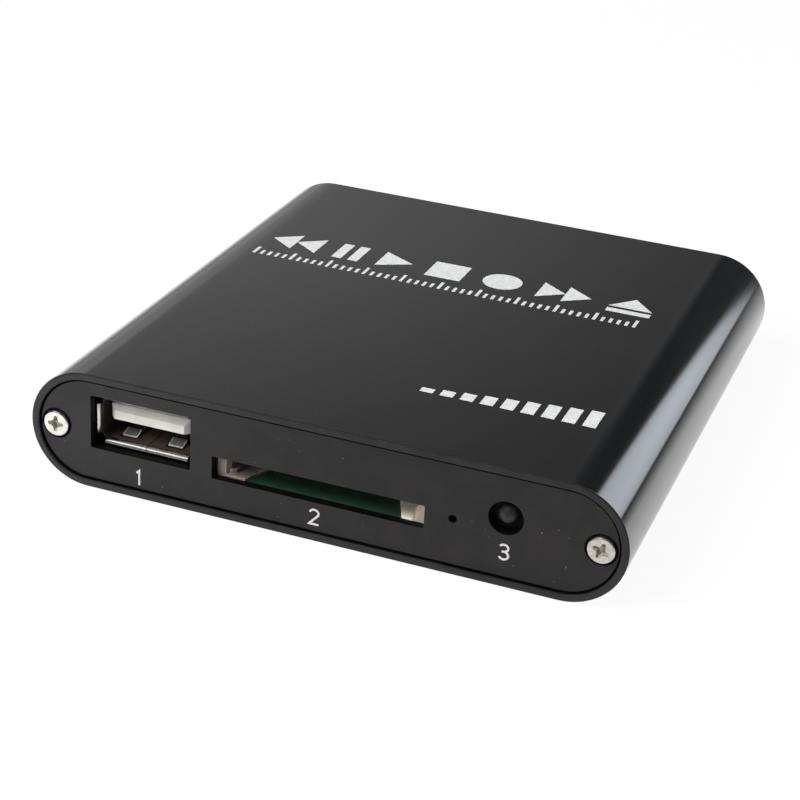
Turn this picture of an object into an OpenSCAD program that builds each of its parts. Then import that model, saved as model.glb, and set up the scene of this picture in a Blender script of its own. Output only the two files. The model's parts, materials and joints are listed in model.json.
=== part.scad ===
// A pocket media player: a flat extruded sleeve with full-round sides, closed by two
// inset end panels, with one circuit board in its grooves and the sockets behind the panels.
// Millimetres. x runs to the right, y to the rear, z up; the origin is the middle of the underside.

/* [Sleeve] */
// Width of the sleeve, side to side
body_w = 78; // [77:0.5:100]
// Depth of the sleeve, front rim to rear rim
body_d = 81; // [79:0.5:110]
// Height of the sleeve, underside to top
body_h = 15.7; // [15.4:0.1:20]
// Wall thickness of the sleeve
wall = 1.0; // [0.8:0.05:1.2]
// Chamfer on the edges of both rims
rim_chamfer = 0.15; // [0.1:0.05:0.3]

/* [End panels] */
// Thickness of each end panel
panel_t = 1.2; // [1:0.1:2]
// How far a panel's face lies behind the rim
panel_recess = 0.4; // [0.35:0.05:1]
// Gap all round a panel inside the sleeve
panel_gap = 0.25; // [0.1:0.05:0.3]

/* [Screws] */
// Radius of a screw head
head_r = 1.75; // [1.5:0.05:1.9]
// Height of a screw head
head_h = 1.0; // [0.8:0.05:1.2]
// How far a head stands out of the panel's face
head_proud = 0.4; // [0.1:0.05:0.4]
// Gap round a head in its counterbore
head_gap = 0.3; // [0.1:0.05:0.45]
// Panel metal left between a counterbore and the panel's edge
head_land = 0.1; // [0.1:0.05:0.5]
// Radius of a screw shank
shank_r = 1.0; // [0.8:0.05:1.1]
// Length of a screw shank below its head
shank_len = 6.5; // [4:0.5:10]
// Running gap round a shank in its channel
shank_gap = 0.05; // [0.03:0.01:0.1]
// Width of the slit along a screw channel
channel_slit = 0.9; // [0.6:0.1:1.1]
// Wall of a screw channel round its bore
channel_wall = 0.95; // [0.8:0.05:1.1]

/* [Board] */
// Height of the board's underside
board_z = 3.4; // [3.2:0.1:3.6]
// Thickness of the board
board_t = 1.6; // [1.2:0.1:1.7]
// Gap between the board and the ribs above and below it
board_slide_gap = 0.1; // [0.05:0.05:0.15]
// Gap between the board's long edges and the sleeve
board_side_gap = 0.5; // [0.4:0.05:0.8]
// Gap between the board's short edges and the panels
board_end_gap = 0.3; // [0.2:0.05:0.6]
// Thickness of a board rib
rib_t = 1.0; // [0.8:0.1:1.1]
// How far a rib reaches over the board's edge
rib_grip = 1.2; // [1:0.1:1.8]

/* [Data port] */
// Width of the port's steel shell
port_w = 13.1; // [12.9:0.05:13.3]
// Height of the port's steel shell
port_h = 5.7; // [5.6:0.05:5.9]
// Length of the port's steel shell
port_len = 13.4; // [12.5:0.1:15]
// Sheet thickness of the shell
port_t = 0.3; // [0.25:0.05:0.35]
// Outer corner radius of the shell
port_corner = 0.8; // [0.6:0.1:1]
// How far the curled lip reaches out
lip_flare = 0.4; // [0.35:0.05:0.6]
// How far the lip lies behind the front rim
port_mouth = 2.1; // [1.7:0.05:2.4]
// How far the shell stands above the board
port_lift = 0.95; // [0.8:0.05:1.2]
// How far the port sits to the right of the middle between screw and card socket
port_shift = -0.2; // [-0.3:0.05:0.6]
// Width of the tongue
tongue_w = 11.1; // [10.8:0.05:11.3]
// Thickness of the tongue
tongue_t = 1.84; // [1.7:0.02:2]
// How far the tongue's face lies behind the lip
tongue_inset = 0.9; // [0.7:0.05:1.4]
// Space above the tongue
tongue_above = 0.7; // [0.6:0.05:0.8]
// Distance from the port's middle to each spring finger
finger_x = 3.2; // [2.9:0.1:3.6]
// Width of a spring finger
finger_w = 2.0; // [1.6:0.1:2.2]

/* [Card socket] */
// Width of the card slot
card_w = 24.2; // [24.1:0.05:24.6]
// Height of the card slot
card_h = 2.35; // [2.2:0.05:2.45]
// Length of the socket
socket_len = 28.4; // [28:0.1:30]
// Gap between the front panel and the socket's mouth
socket_gap = 0.1; // [0.05:0.05:1]
// Offset of the socket from the middle of the body
socket_x = -0.1; // [-0.5:0.05:0.5]
// Thickness of the ledges that the card runs on
ledge_t = 0.4; // [0.35:0.05:0.5]
// Width of the left ledge at the mouth
ledge_mouth = 2.1; // [1.6:0.1:2.4]
// Width of the left ledge at the throat
ledge_throat = 3.7; // [3:0.1:5]
// How much narrower the right ledge is
ledge_less = 0.7; // [0:0.1:1]
// Width of the left rail
rail_w = 1.6; // [1.3:0.05:1.8]
// Sheet thickness of the steel cover
cover_t = 0.2; // [0.15:0.05:0.25]
// How far the card slider travels
slider_travel = 3.5; // [3:0.1:3.8]
// Width of the card slider
slider_w = 2.2; // [2.1:0.05:2.4]
// Length of the card slider
slider_len = 10; // [9.5:0.1:10.5]
// Height of the card slider
slider_h = 1.45; // [1.4:0.05:1.5]
// Gap round the slider in its channel
slider_gap = 0.1; // [0.06:0.01:0.12]
// Radius of the cam pin's wire
pin_r = 0.2; // [0.15:0.01:0.22]
// Distance from the cam pin's pivot to its tip
pin_len = 8.5; // [8:0.1:9]
// Sideways swing of the cam pin's tip
pin_swing = 0.5; // [0.4:0.05:0.55]
// Radius of the spring's coils, at the wire's middle
coil_r = 0.62; // [0.55:0.01:0.65]
// Diameter of the spring wire
coil_wire = 0.22; // [0.18:0.01:0.26]
// Number of turns of the spring
coil_turns = 9; // [7:1:10]

/* [Front openings] */
// Gap between the card socket and the lamp's flange
lamp_side_gap = 0.45; // [0.3:0.05:0.6]
// Height of the lamp's axis above the board
lamp_rise = 2.33; // [2.1:0.05:2.6]
// Radius of the lamp's pinhole
pinhole_r = 0.53; // [0.4:0.01:0.8]
// Radius of the lamp's lens
lamp_r = 1.5; // [1.3:0.05:1.6]
// Distance from the lamp to the receiver's window
receiver_spacing = 6.5; // [6:0.1:7]
// Height of the receiver's window above the board
receiver_rise = 4.04; // [3.9:0.02:4.4]
// Radius of the receiver's window
receiver_hole_r = 2.2; // [1.8:0.05:2.4]
// Radius of the receiver's dome
receiver_dome_r = 1.4; // [1.2:0.05:1.8]
// How far the dome's tip lies behind the front rim
receiver_mouth = 0.5; // [0.4:0.1:3]
// How far the receiver's axis lies above its window's
receiver_lift = 0.1; // [0:0.05:0.3]

/* [Rear sockets] */
// Place of the picture socket along the rear panel
video_x = 2; // [0:0.5:4]
// Width of the picture socket's shell
video_w = 14.9; // [14.5:0.1:15.1]
// Height of the picture socket's shell
video_h = 5.55; // [5.4:0.05:5.7]
// Length of the picture socket's shell
video_len = 11.2; // [10.5:0.1:12]
// Distance from the sleeve's left side to the sound socket's axis
sound_side = 19; // [17:0.5:22]
// Radius of the sound socket's bore
sound_bore_r = 1.8; // [1.76:0.01:1.82]
// Height of the sound socket's body
sound_h = 5.7; // [5.4:0.1:6]
// Distance from the sleeve's right side to the power socket's axis
power_side = 16; // [14:0.5:19]
// Radius of the power socket's bore
power_bore_r = 2.05; // [1.95:0.05:2.2]
// Radius of the power socket's centre pin
power_pin_r = 0.65; // [0.6:0.05:0.7]
// Height of the power socket's body
power_h = 6.6; // [6.2:0.1:7]

/* [Hidden] */

$fn = 64;
cut = 1; // how far a cutting tool runs past a face
lead_w = 0.5; // square component leads
lead_gap = 0.1; // gap round a lead in its board hole
tail = 1.0; // how far a lead stands out under the board
foot_t = 0.15; // thickness of a soldered foot

front_y = -body_d / 2;
rear_y = body_d / 2;
mid_z = body_h / 2;
cap_x = body_w / 2 - body_h / 2; // axis of the round sides
cavity_r = body_h / 2 - wall;
panel_back = panel_recess + panel_t; // depth of a panel's inner face behind the rim
board_top = board_z + board_t;
board_half = cavity_half(board_z) - board_side_gap;
board_front = front_y + panel_back + board_end_gap;
board_rear = rear_y - panel_back - board_end_gap;
lead_end = board_z - tail;

head_bore_r = head_r + head_gap;
shank_hole_gap = 0.2; // gap round a shank in its panel
head_bore_depth = head_h - head_proud;
screw_x = body_w / 2 - wall - panel_gap - head_land - head_bore_r;
channel_bore_r = shank_r + shank_gap;
channel_r = channel_bore_r + channel_wall;

socket_y = front_y + panel_back + socket_gap;
rail_h = ledge_t + card_h; // height of the socket's rails above the board
slot_left = socket_x - card_w / 2;
slot_right = socket_x + card_w / 2;
slider_wall = 0.6; // outer wall of the slider's channel
channel_right = slot_right + slider_w + 2 * slider_gap;
socket_left = slot_left - rail_w;
socket_right = channel_right + slider_wall;
cover_left = socket_left - cover_t;
cover_right = socket_right + cover_t;
back_wall = 1.2; // rear wall of the socket
slider_x = slot_right + slider_gap; // inner side of the slider
slider_mid = slider_x + slider_w / 2;
slider_z = board_top + ledge_t + slider_gap;
slider_y = socket_y + 10.4; // front of the slider at rest
spring_y = slider_y + slider_len; // where the spring bears on the slider
spring_end = socket_y + socket_len - back_wall; // where it bears on the frame
spring_z = slider_z + slider_h / 2;
pin_z = slider_z + slider_h + slider_gap + pin_r; // axis of the pin's flat run
pin_tip_y = slider_y + 7.2;
pin_pivot_y = pin_tip_y - pin_len;
track_r = pin_r + 0.1; // half the width of the cam track
track_depth = 0.55;

port_x = (cover_left - screw_x + head_bore_r) / 2 + port_shift;
port_y = front_y + port_mouth;
port_z = board_top + port_lift; // underside of the shell
port_top = port_z + port_h;
tongue_top = port_top - port_t - tongue_above;
contact_pitches = [-3.5, -1, 1, 3.5]; // places of the data port's four contacts
contact_w = 1.0;
contact_t = 0.2;
groove_gap = 0.05; // gap beside a contact in its groove

lamp_flange_r = lamp_r + 0.25;
lamp_x = cover_right + lamp_side_gap + lamp_flange_r;
lamp_z = board_top + lamp_rise;
receiver_x = lamp_x + receiver_spacing;
window_z = board_top + receiver_rise; // axis of the receiver's window
receiver_z = window_z + receiver_lift;
receiver_body = [6.2, 2.7, 7.0];
receiver_y = front_y + receiver_mouth + receiver_dome_r; // front of its body

video_y = rear_y - panel_back - 0.2; // mouth of the picture socket
video_z = board_top + video_h / 2 + 0.1;
video_t = 0.35;
sound_x = -body_w / 2 + sound_side;
sound_z = board_top + sound_h / 2;
sound_w = 6.4;
sound_len = 12;
power_x = body_w / 2 - power_side;
power_z = board_top + power_h / 2;
power_w = 7.6;
power_len = 12;
power_bore_len = 9.5;
spring_root = 10.6; // legs and bends of its spring, in front of the jack's rear face
spring_peak = 6;
spring_foot = 4;
power_shank_r = power_pin_r + 0.2;
jack_y = rear_y - panel_back - 0.1; // rear face of the jacks' bodies

// ---- helpers ----

// Half the width of the cavity at height z
function cavity_half(z) = cap_x + sqrt(pow(cavity_r, 2) - pow(z - mid_z, 2));

// Extrudes a drawing in (x, z) along y
module along_y(y0, length) {
    translate([0, y0 + length, 0]) rotate([90, 0, 0]) linear_extrude(length) children();
}

// Extrudes a drawing in (y, z) along x
module along_x(x0, length) {
    translate([x0, 0, 0]) rotate([90, 0, 90]) linear_extrude(length) children();
}

// Extrudes a drawing in (x, y) upward
module along_z(z0, height) {
    translate([0, 0, z0]) linear_extrude(height) children();
}

// A box from one corner to the other
module block(low, high) {
    translate(low) cube(high - low);
}

// A box by its middle in x and y and its underside
module chip(x, y, z, size) {
    translate([x - size[0] / 2, y - size[1] / 2, z]) cube(size);
}

// A cylinder along y
module rod_y(x, y, z, r, length) {
    translate([x, y + length, z]) rotate([90, 0, 0]) cylinder(h = length, r = r);
}

module stadium(w, h) {
    square([w - h, h], center = true);
    for (side = [-1, 1]) translate([side * (w - h) / 2, 0]) circle(d = h, $fn = 128);
}

module round_rect(w, h, r) {
    square([w - 2 * r, h], center = true);
    square([w, h - 2 * r], center = true);
    for (i = [-1, 1]) for (j = [-1, 1])
        translate([i * (w / 2 - r), j * (h / 2 - r)]) circle(r = r, $fn = 32);
}

// A bent strip of even thickness along points, with mitred bends
function unit(v) = v / norm(v);
function turned(v) = [-v[1], v[0]];
function way(points, i) = unit(points[min(i + 1, len(points) - 1)] - points[min(i, len(points) - 2)]);
function edge_point(points, i, offset) =
    let (before = turned(way(points, max(i - 1, 0))), after = turned(way(points, i)))
    let (mitre = unit(before + after))
    points[i] + mitre * offset / (mitre * before);
module strip(points, thickness) {
    last = len(points) - 1;
    polygon(concat(
        [for (i = [0:last]) edge_point(points, i, thickness / 2)],
        [for (i = [last:-1:0]) edge_point(points, i, -thickness / 2)]
    ));
}

// A square hole in the board for a lead of the given size
module board_hole(x, y, size) {
    hole = size + 2 * [lead_gap, lead_gap];
    chip(x, y, board_z - cut, [hole[0], hole[1], board_t + 2 * cut]);
}

// ---- sleeve, panels and screws ----

module sleeve_outline(inset) {
    translate([0, mid_z]) stadium(body_w - 2 * inset, body_h - 2 * inset);
}

// Screw channel and board ribs of one side, drawn for the right-hand side
module side_features() {
    rib_z = board_top + board_slide_gap; // underside of the upper rib
    web_top = mid_z + channel_r * 0.65;
    translate([screw_x, mid_z]) circle(r = channel_r);
    translate([screw_x, rib_z]) square([body_w / 2 - screw_x, web_top - rib_z]);
    for (z = [board_z - board_slide_gap - rib_t, rib_z])
        translate([board_half - rib_grip, z]) square([body_w / 2, rib_t]);
}

// A ring round the stadium at a rim, in (distance from the side's axis, depth behind the rim)
module rim_ring() {
    for (side = [-1, 1]) translate([side * cap_x, 0, mid_z]) rotate([-90, 0, 0])
        rotate([0, 0, side * 90 - 180]) rotate_extrude(angle = 180, $fn = 128) children();
    for (up = [0, 1]) translate([-cap_x, 0, mid_z]) mirror([0, 0, up])
        rotate([90, 0, 90]) linear_extrude(2 * cap_x) rotate(90) mirror([0, 1]) children();
}

// What is cut from the front rim's two edges
module rim_cut() {
    over = rim_chamfer + cut;
    rim_ring() polygon([
        [body_h / 2 - over, -cut], [body_h / 2 + cut, -cut], [body_h / 2 + cut, over]
    ]);
    rim_ring() polygon([
        [cavity_r + over, -cut], [cavity_r - cut, -cut], [cavity_r - cut, over]
    ]);
}

module housing() {
    color("#1c1c1e") {
        difference() {
            along_y(front_y, body_d) difference() {
                sleeve_outline(0);
                sleeve_outline(wall);
            }
            translate([0, front_y, 0]) rim_cut();
            translate([0, rear_y, 0]) mirror([0, 1, 0]) rim_cut();
        }
        along_y(front_y + panel_back, body_d - 2 * panel_back)
            for (side = [0, 1]) mirror([side, 0]) intersection() {
                sleeve_outline(wall / 2);
                difference() {
                    side_features();
                    translate([screw_x, mid_z]) circle(r = channel_bore_r);
                    translate([screw_x - channel_r - cut, mid_z - channel_slit / 2])
                        square([channel_r + cut, channel_slit]);
                }
            }
    }
}

// Panel blank with its two screw holes; its face looks toward -y
module panel_blank() {
    difference() {
        along_y(panel_recess, panel_t) sleeve_outline(wall + panel_gap);
        for (side = [-1, 1]) {
            rod_y(side * screw_x, 0, mid_z, shank_r + shank_hole_gap, panel_back + cut);
            rod_y(side * screw_x, 0, mid_z, head_bore_r, panel_recess + head_bore_depth);
        }
    }
}

window_left = 0.28; // window edges round the data port's shell
window_right = 0.42;
window_below = 0.42;
window_above = 1.1;
card_window_rise = 0.14; // the card window's sill above the board
card_window_over = 0.43; // how far that window opens above the card slot

module front_panel() {
    window_w = port_w + window_left + window_right;
    window_h = port_h + window_below + window_above;
    card_window_h = rail_h + card_window_over - card_window_rise;
    color("#3a393b") difference() {
        translate([0, front_y, 0]) panel_blank();
        along_y(front_y, panel_back + cut) {
            translate([port_x + (window_right - window_left) / 2, port_z - window_below + window_h / 2])
                round_rect(window_w, window_h, 0.3);
            translate([socket_x, board_top + card_window_rise + card_window_h / 2])
                round_rect(card_w + 2 * rail_w + 0.5, card_window_h, 0.25);
            translate([lamp_x, lamp_z]) circle(r = pinhole_r);
            translate([receiver_x, window_z]) circle(r = receiver_hole_r);
        }
    }
}

nose_gap = 0.2; // gap round a jack's nose in the rear panel
sound_nose_r = 2.9;
power_nose_r = 2.9;

module rear_panel() {
    color("#3a393b") difference() {
        translate([0, rear_y, 0]) mirror([0, 1, 0]) panel_blank();
        along_y(rear_y - panel_back - cut, panel_back + cut) {
            translate([video_x, video_z]) round_rect(video_w + 0.8, video_h + 0.8, 0.4);
            translate([sound_x, sound_z]) circle(r = sound_nose_r + nose_gap);
            translate([power_x, power_z]) circle(r = power_nose_r + nose_gap);
        }
    }
}

// Pan-head screw with a cross recess, its head toward -y and its seat at y = 0
module screw(turn) {
    recess_w = 0.6;
    recess_len = 2.2;
    recess_depth = 0.6;
    color("#d8d8d6") difference() {
        rotate([90, 0, 0]) rotate_extrude() difference() {
            union() {
                translate([0, -shank_len]) square([shank_r, shank_len]);
                square([head_r, head_h - 0.35]);
                square([head_r - 0.35, head_h]);
                translate([head_r - 0.35, head_h - 0.35]) circle(r = 0.35, $fn = 32);
            }
            translate([-head_r, -shank_len]) square([head_r, shank_len + head_h]);
        }
        for (arm = [turn, turn + 90]) rotate([0, arm, 0])
            translate([-recess_len / 2, -head_h - cut, -recess_w / 2])
                cube([recess_len, cut + recess_depth, recess_w]);
    }
}

front_turns = [0, 20]; // how far each cross is turned, left and right
rear_turns = [52, 33];

module front_screws() {
    for (i = [0, 1])
        translate([(2 * i - 1) * screw_x, front_y + panel_recess + head_bore_depth, mid_z])
            screw(front_turns[i]);
}

module rear_screws() {
    for (i = [0, 1])
        translate([(2 * i - 1) * screw_x, rear_y - panel_recess - head_bore_depth, mid_z])
            mirror([0, 1, 0]) screw(rear_turns[i]);
}

// ---- board ----

port_legs_y = [port_y + 4, port_y + 9.8];
port_leg = [port_t, 1.4];
port_pins_y = port_y + port_len + 0.6;
video_legs_y = [video_y - 2.6, video_y - 8.2];
lamp_pins_y = front_y + panel_back + 6.5;
receiver_pins_y = receiver_y + receiver_body[1] / 2;
sound_pins = [[-2.6, 4], [2.6, 4], [-2.6, 9], [2.6, 9]]; // beside the axis, behind the rear face
power_pins = [[0, spring_root], [-3.2, spring_peak], [0, spring_foot]];

module main_board() {
    color("#0f3a2a") difference() {
        block([-board_half, board_front, board_z], [board_half, board_rear, board_top]);
        for (side = [-1, 1]) {
            for (y = port_legs_y)
                board_hole(port_x + side * (port_w - port_t) / 2, y, port_leg);
            for (y = video_legs_y)
                board_hole(video_x + side * (video_w - video_t) / 2, y, [video_t, 1.2]);
            board_hole(lamp_x + side * 1.27, lamp_pins_y, [lead_w, lead_w]);
        }
        for (x = contact_pitches) board_hole(port_x + x, port_pins_y, [contact_w, contact_t]);
        for (x = [-2.54, 0, 2.54]) board_hole(receiver_x + x, receiver_pins_y, [lead_w, lead_w]);
        for (p = sound_pins) board_hole(sound_x + p[0], jack_y - p[1], [contact_t, 1.2]);
        for (p = power_pins) board_hole(power_x + p[0], jack_y - p[1], [1.4, contact_t]);
    }
}

// ---- data port ----

// One curled lip: a quarter ring from the shell's outer face, in (y, outward)
module lip_profile() {
    intersection() {
        translate([port_t + lip_flare, lip_flare]) difference() {
            circle(r = lip_flare + port_t);
            circle(r = lip_flare);
        }
        translate([0, -port_t]) square([port_t + lip_flare, port_t + lip_flare]);
    }
}

// Spring finger of the shell, drawn in (y, inward) from the lip and the shell's inner face
module finger_profile() {
    strip([[7.4, -0.15], [6.6, -0.15], [3.3, 0.42], [1.9, 0.02]], 0.2);
}

module data_port_shell() {
    bend = port_t + lip_flare; // length of the curl
    flat_w = port_w - 2 * port_corner;
    flat_h = port_h - 2 * port_corner;
    window_w = finger_w + 0.5;
    seam = 0.12;
    color("#c9c9c4") translate([port_x, port_y, port_z]) difference() {
        union() {
            difference() {
                along_y(bend, port_len - bend) translate([0, port_h / 2]) difference() {
                    round_rect(port_w, port_h, port_corner);
                    round_rect(port_w - 2 * port_t, port_h - 2 * port_t, port_corner - port_t);
                }
                for (side = [-1, 1])
                    block([side * finger_x - window_w / 2, 1.5, -cut],
                          [side * finger_x + window_w / 2, 6.9, port_h + cut]);
            }
            // curls above, below and at both sides
            along_x(-flat_w / 2, flat_w) translate([0, port_h]) lip_profile();
            along_x(-flat_w / 2, flat_w) mirror([0, 1]) lip_profile();
            for (side = [0, 1]) mirror([side, 0, 0])
                along_z(port_corner, flat_h) translate([port_w / 2, 0]) mirror([1, -1]) lip_profile();
            for (side = [-1, 1]) {
                along_x(side * finger_x - finger_w / 2, finger_w)
                    translate([0, port_t]) finger_profile();
                along_x(side * finger_x - finger_w / 2, finger_w)
                    translate([0, port_h - port_t]) mirror([0, 1]) finger_profile();
                for (y = port_legs_y)
                    chip(side * (port_w - port_t) / 2, y - port_y, lead_end - port_z,
                         [port_leg[0], port_leg[1], port_corner + port_z - lead_end + 0.4]);
            }
            // rear flap folded down from the top
            block([-flat_w / 2, port_len - port_t, port_h * 0.6],
                  [flat_w / 2, port_len, port_h - port_t / 2]);
        }
        block([-seam / 2, -cut, -lip_flare - cut], [seam / 2, port_len + cut, port_t + 0.05]);
    }
}

port_block_y = port_len - port_t - 2.6; // front of the tongue's rear block, from the lip
port_block_gap = 0.05;

module data_port_tongue() {
    top = tongue_top - port_z;
    bevel = 0.7;
    color("#e9e7e0") translate([port_x, port_y, port_z]) difference() {
        union() {
            intersection() {
                along_x(-tongue_w / 2, tongue_w) polygon([
                    [tongue_inset, top - tongue_t], [port_block_y + 1, top - tongue_t],
                    [port_block_y + 1, top], [tongue_inset + bevel, top], [tongue_inset, top - bevel]
                ]);
                along_z(0, port_h) polygon([
                    [-tongue_w / 2 + bevel, tongue_inset], [tongue_w / 2 - bevel, tongue_inset],
                    [tongue_w / 2, tongue_inset + bevel], [tongue_w / 2, port_len],
                    [-tongue_w / 2, port_len], [-tongue_w / 2, tongue_inset + bevel]
                ]);
            }
            along_y(port_block_y, 2.6 - port_block_gap) translate([0, port_h / 2])
                round_rect(port_w - 2 * port_t - 2 * port_block_gap,
                           port_h - 2 * port_t - 2 * port_block_gap, port_corner - port_t);
        }
        for (x = contact_pitches) {
            half = contact_w / 2 + groove_gap;
            block([x - half, tongue_inset + 1.2, top - tongue_t - cut],
                  [x + half, port_block_y + 0.01, top - tongue_t + contact_t + groove_gap]);
            block([x - half, port_block_y - 0.5, top - tongue_t - 0.02],
                  [x + half, port_len + cut, top - tongue_t + contact_t + groove_gap]);
        }
    }
}

module data_port_contacts() {
    z = tongue_top - tongue_t - port_z + contact_t / 2; // middle of a strip in its groove
    color("#c9a24a") translate([port_x, port_y, port_z]) for (x = contact_pitches)
        along_x(x - contact_w / 2, contact_w) strip([
            [tongue_inset + 1.4, z], [3.2, z - 0.45], [5, z], [port_len + 0.6, z],
            [port_len + 0.6, lead_end - port_z]
        ], contact_t);
}

// ---- card socket ----

throat_y = 3.9; // depth at which the ledges reach their full width
floor_y = 9.4; // depth at which the floor closes across the socket
contact_places = [-10.4, -7.9, -5.4, -2.9, -0.4, 2.1, 4.6, 7.1, 9.4]; // nine card contacts
card_contact_w = 0.8;
contact_slot_y = 14.5; // front of the slots for the contacts
mouth_bevel = 0.45;
guide_w = 0.6; // width and height of the guide on the left ledge
guide_h = 0.6;
lead_in = 0.75; // half the width of the lead-in bevel, along its slope
lead_in_len = 3;
pivot_gap = 0.08; // running gap round the cam pin's pivot

module card_socket_frame() {
    right_w = socket_right - slot_right;
    color("#d9cfb4") translate([0, socket_y, board_top]) difference() {
        union() {
            // left rail, with its mouth bevelled toward the card
            along_z(0, rail_h) polygon([
                [socket_left, 0], [slot_left - mouth_bevel, 0], [slot_left, mouth_bevel * 1.6],
                [slot_left, socket_len], [socket_left, socket_len]
            ]);
            // right rail, solid at the mouth
            along_z(0, rail_h) polygon([
                [slot_right, mouth_bevel * 1.6], [slot_right + mouth_bevel, 0], [socket_right, 0],
                [socket_right, socket_len], [slot_right, socket_len]
            ]);
            block([slot_left - 0.1, socket_len - back_wall, 0],
                  [slot_right + 0.1, socket_len, rail_h]);
            // ledges that widen to the throat, and the floor behind it
            along_z(0, ledge_t) polygon([
                [slot_left - 0.6, 0], [slot_left + ledge_mouth, 0],
                [slot_left + ledge_throat, throat_y], [slot_left + ledge_throat, floor_y],
                [slot_right - ledge_throat + ledge_less, floor_y],
                [slot_right - ledge_throat + ledge_less, throat_y],
                [slot_right - ledge_mouth + ledge_less, 0], [slot_right + 0.6, 0],
                [slot_right + 0.6, socket_len], [slot_left - 0.6, socket_len]
            ]);
            // guide under the thin left edge of the card
            along_z(ledge_t - 0.1, guide_h + 0.1) polygon([
                [slot_left - 0.1, 0.4], [slot_left, 0.4], [slot_left + guide_w, 0.4 + guide_w],
                [slot_left + guide_w, floor_y], [slot_left - 0.1, floor_y]
            ]);
        }
        // lead-in on the right rail's upper edge
        translate([slot_right, 0, rail_h]) rotate([0, 45, 0])
            translate([-lead_in, -cut, -lead_in]) cube([2 * lead_in, lead_in_len + cut, 2 * lead_in]);
        // channel of the slider, open toward the card
        block([slot_right - 0.05, slider_y - socket_y - 0.3, ledge_t],
              [channel_right, socket_len - back_wall, rail_h + cut]);
        // trough in the right rail for the pin's flat run
        block([slider_mid - pin_r - 0.35, pin_pivot_y - socket_y - pin_r - 0.3,
               pin_z - board_top - pin_r - slider_gap],
              [slider_mid + pin_r + 0.35, slider_y - socket_y, rail_h + cut]);
        // pivot hole of the cam pin
        translate([slider_mid, pin_pivot_y - socket_y, ledge_t])
            cylinder(h = rail_h, r = pin_r + pivot_gap);
        // slots for the contacts through floor and rear wall
        for (x = contact_places)
            block([socket_x + x - card_contact_w / 2 - 0.15, contact_slot_y, -cut],
                  [socket_x + x + card_contact_w / 2 + 0.15, socket_len + cut, ledge_t + 0.15]);
        // notches in the left rail for the two switches
        for (y = switch_places)
            block([slot_left - 0.9, y - 0.2, ledge_t],
                  [slot_left + cut, y + switch_len + 0.2, rail_h + cut]);
    }
}

// Steel cover: a roof with flanges folded down outside the rails, on soldered feet
module card_socket_cover() {
    roof_z = board_top + rail_h;
    flange_low = board_top + 0.5;
    front = socket_y + 1.2;
    rear = socket_y + socket_len - 0.4;
    latch_y = pin_tip_y - 1.5;
    color("#bfc0bd") {
        difference() {
            block([cover_left, front, roof_z], [cover_right, rear, roof_z + cover_t]);
            // windows round the pressing fingers
            for (x = [socket_x - 7, socket_x + 7]) difference() {
                chip(x, socket_y + 12, roof_z - cut, [3.6, 8, cover_t + 2 * cut]);
                chip(x, socket_y + 12.9, roof_z - 2 * cut, [2, 6.4, cover_t + 4 * cut]);
            }
            chip(socket_x, socket_y + 7, roof_z - cut, [5, 3, cover_t + 2 * cut]);
            chip(slider_mid, latch_y, roof_z - cut, [1.5, 4.6, cover_t + 2 * cut]);
        }
        chip(slider_mid, latch_y + 0.4, roof_z, [0.7, 4.4, cover_t]);
        for (x = [cover_left, socket_right]) {
            block([x, front, flange_low], [x + cover_t, rear, roof_z + cover_t / 2]);
            for (y = [front + 2, rear - 4])
                block([x, y, board_top], [x + cover_t, y + 1.8, flange_low + 0.1]);
        }
        for (y = [front + 2, rear - 4]) {
            block([cover_left - 0.9, y, board_top], [cover_left + cover_t, y + 1.8, board_top + cover_t]);
        }
    }
}

foot_reach = 1.0; // how far the feet stand out behind the socket
arm_root = 6.4; // where an arm starts to rise, in front of the socket's rear end
arm_peak = 11.2; // where it presses on the card
arm_tip = 12.8;
arm_rise = 0.9;
arm_drop = 0.35; // how far the tip lies below the peak

// Nine bent strips: a soldered foot behind the socket and a sprung arm in it
module card_contacts() {
    rear = socket_y + socket_len;
    z = board_top + foot_t / 2;
    color("#c9a24a") for (x = contact_places)
        along_x(socket_x + x - card_contact_w / 2, card_contact_w) strip([
            [rear + foot_reach, z], [rear - arm_root, z], [rear - arm_peak, z + arm_rise],
            [rear - arm_tip, z + arm_rise - arm_drop]
        ], foot_t);
}

switch_places = [12.5, 19.5]; // depth of the switches in the left rail
switch_len = 4.5;

// Two leaf switches that sense the card, standing in the left rail
module card_switches() {
    color("#c9a24a") for (y = switch_places)
        along_z(board_top + ledge_t + 0.05, card_h - 0.35) translate([slot_left, socket_y + y]) strip([
            [-0.8, 0.1], [-0.8, 0.9], [-0.1, 2.6], [-0.55, switch_len - 0.2]
        ], foot_t);
}

// Slider with its hook, its spring peg and the heart-shaped cam track in its top
module card_slider() {
    home = [slider_w / 2, pin_tip_y - slider_y]; // the pin's place at rest
    far_y = home[1] - slider_travel;
    hook = 1.1;
    color("#efe9d6") translate([slider_x, slider_y, slider_z]) difference() {
        union() {
            cube([slider_w, slider_len, slider_h]);
            // hook that the card's cut corner pushes
            along_z(0, slider_h) polygon([
                [0.1, slider_len - 2.4], [0, slider_len - 2.4], [-hook - slider_gap, slider_len - 1.2],
                [-hook - slider_gap, slider_len], [0.1, slider_len]
            ]);
            // peg for the spring
            rod_y(slider_w / 2, slider_len - 0.1, slider_h / 2, coil_r - coil_wire / 2 - 0.12, 1.2);
        }
        // two lanes from the home end to the far end, a cross lane with a latching notch
        along_z(slider_h - track_depth, slider_h) {
            for (side = [-1, 1])
                lane(home, [home[0] + side * pin_swing, far_y]);
            for (side = [-1, 1])
                lane([home[0] + side * pin_swing, far_y], [home[0], far_y + 0.75]);
        }
    }
}

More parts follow.
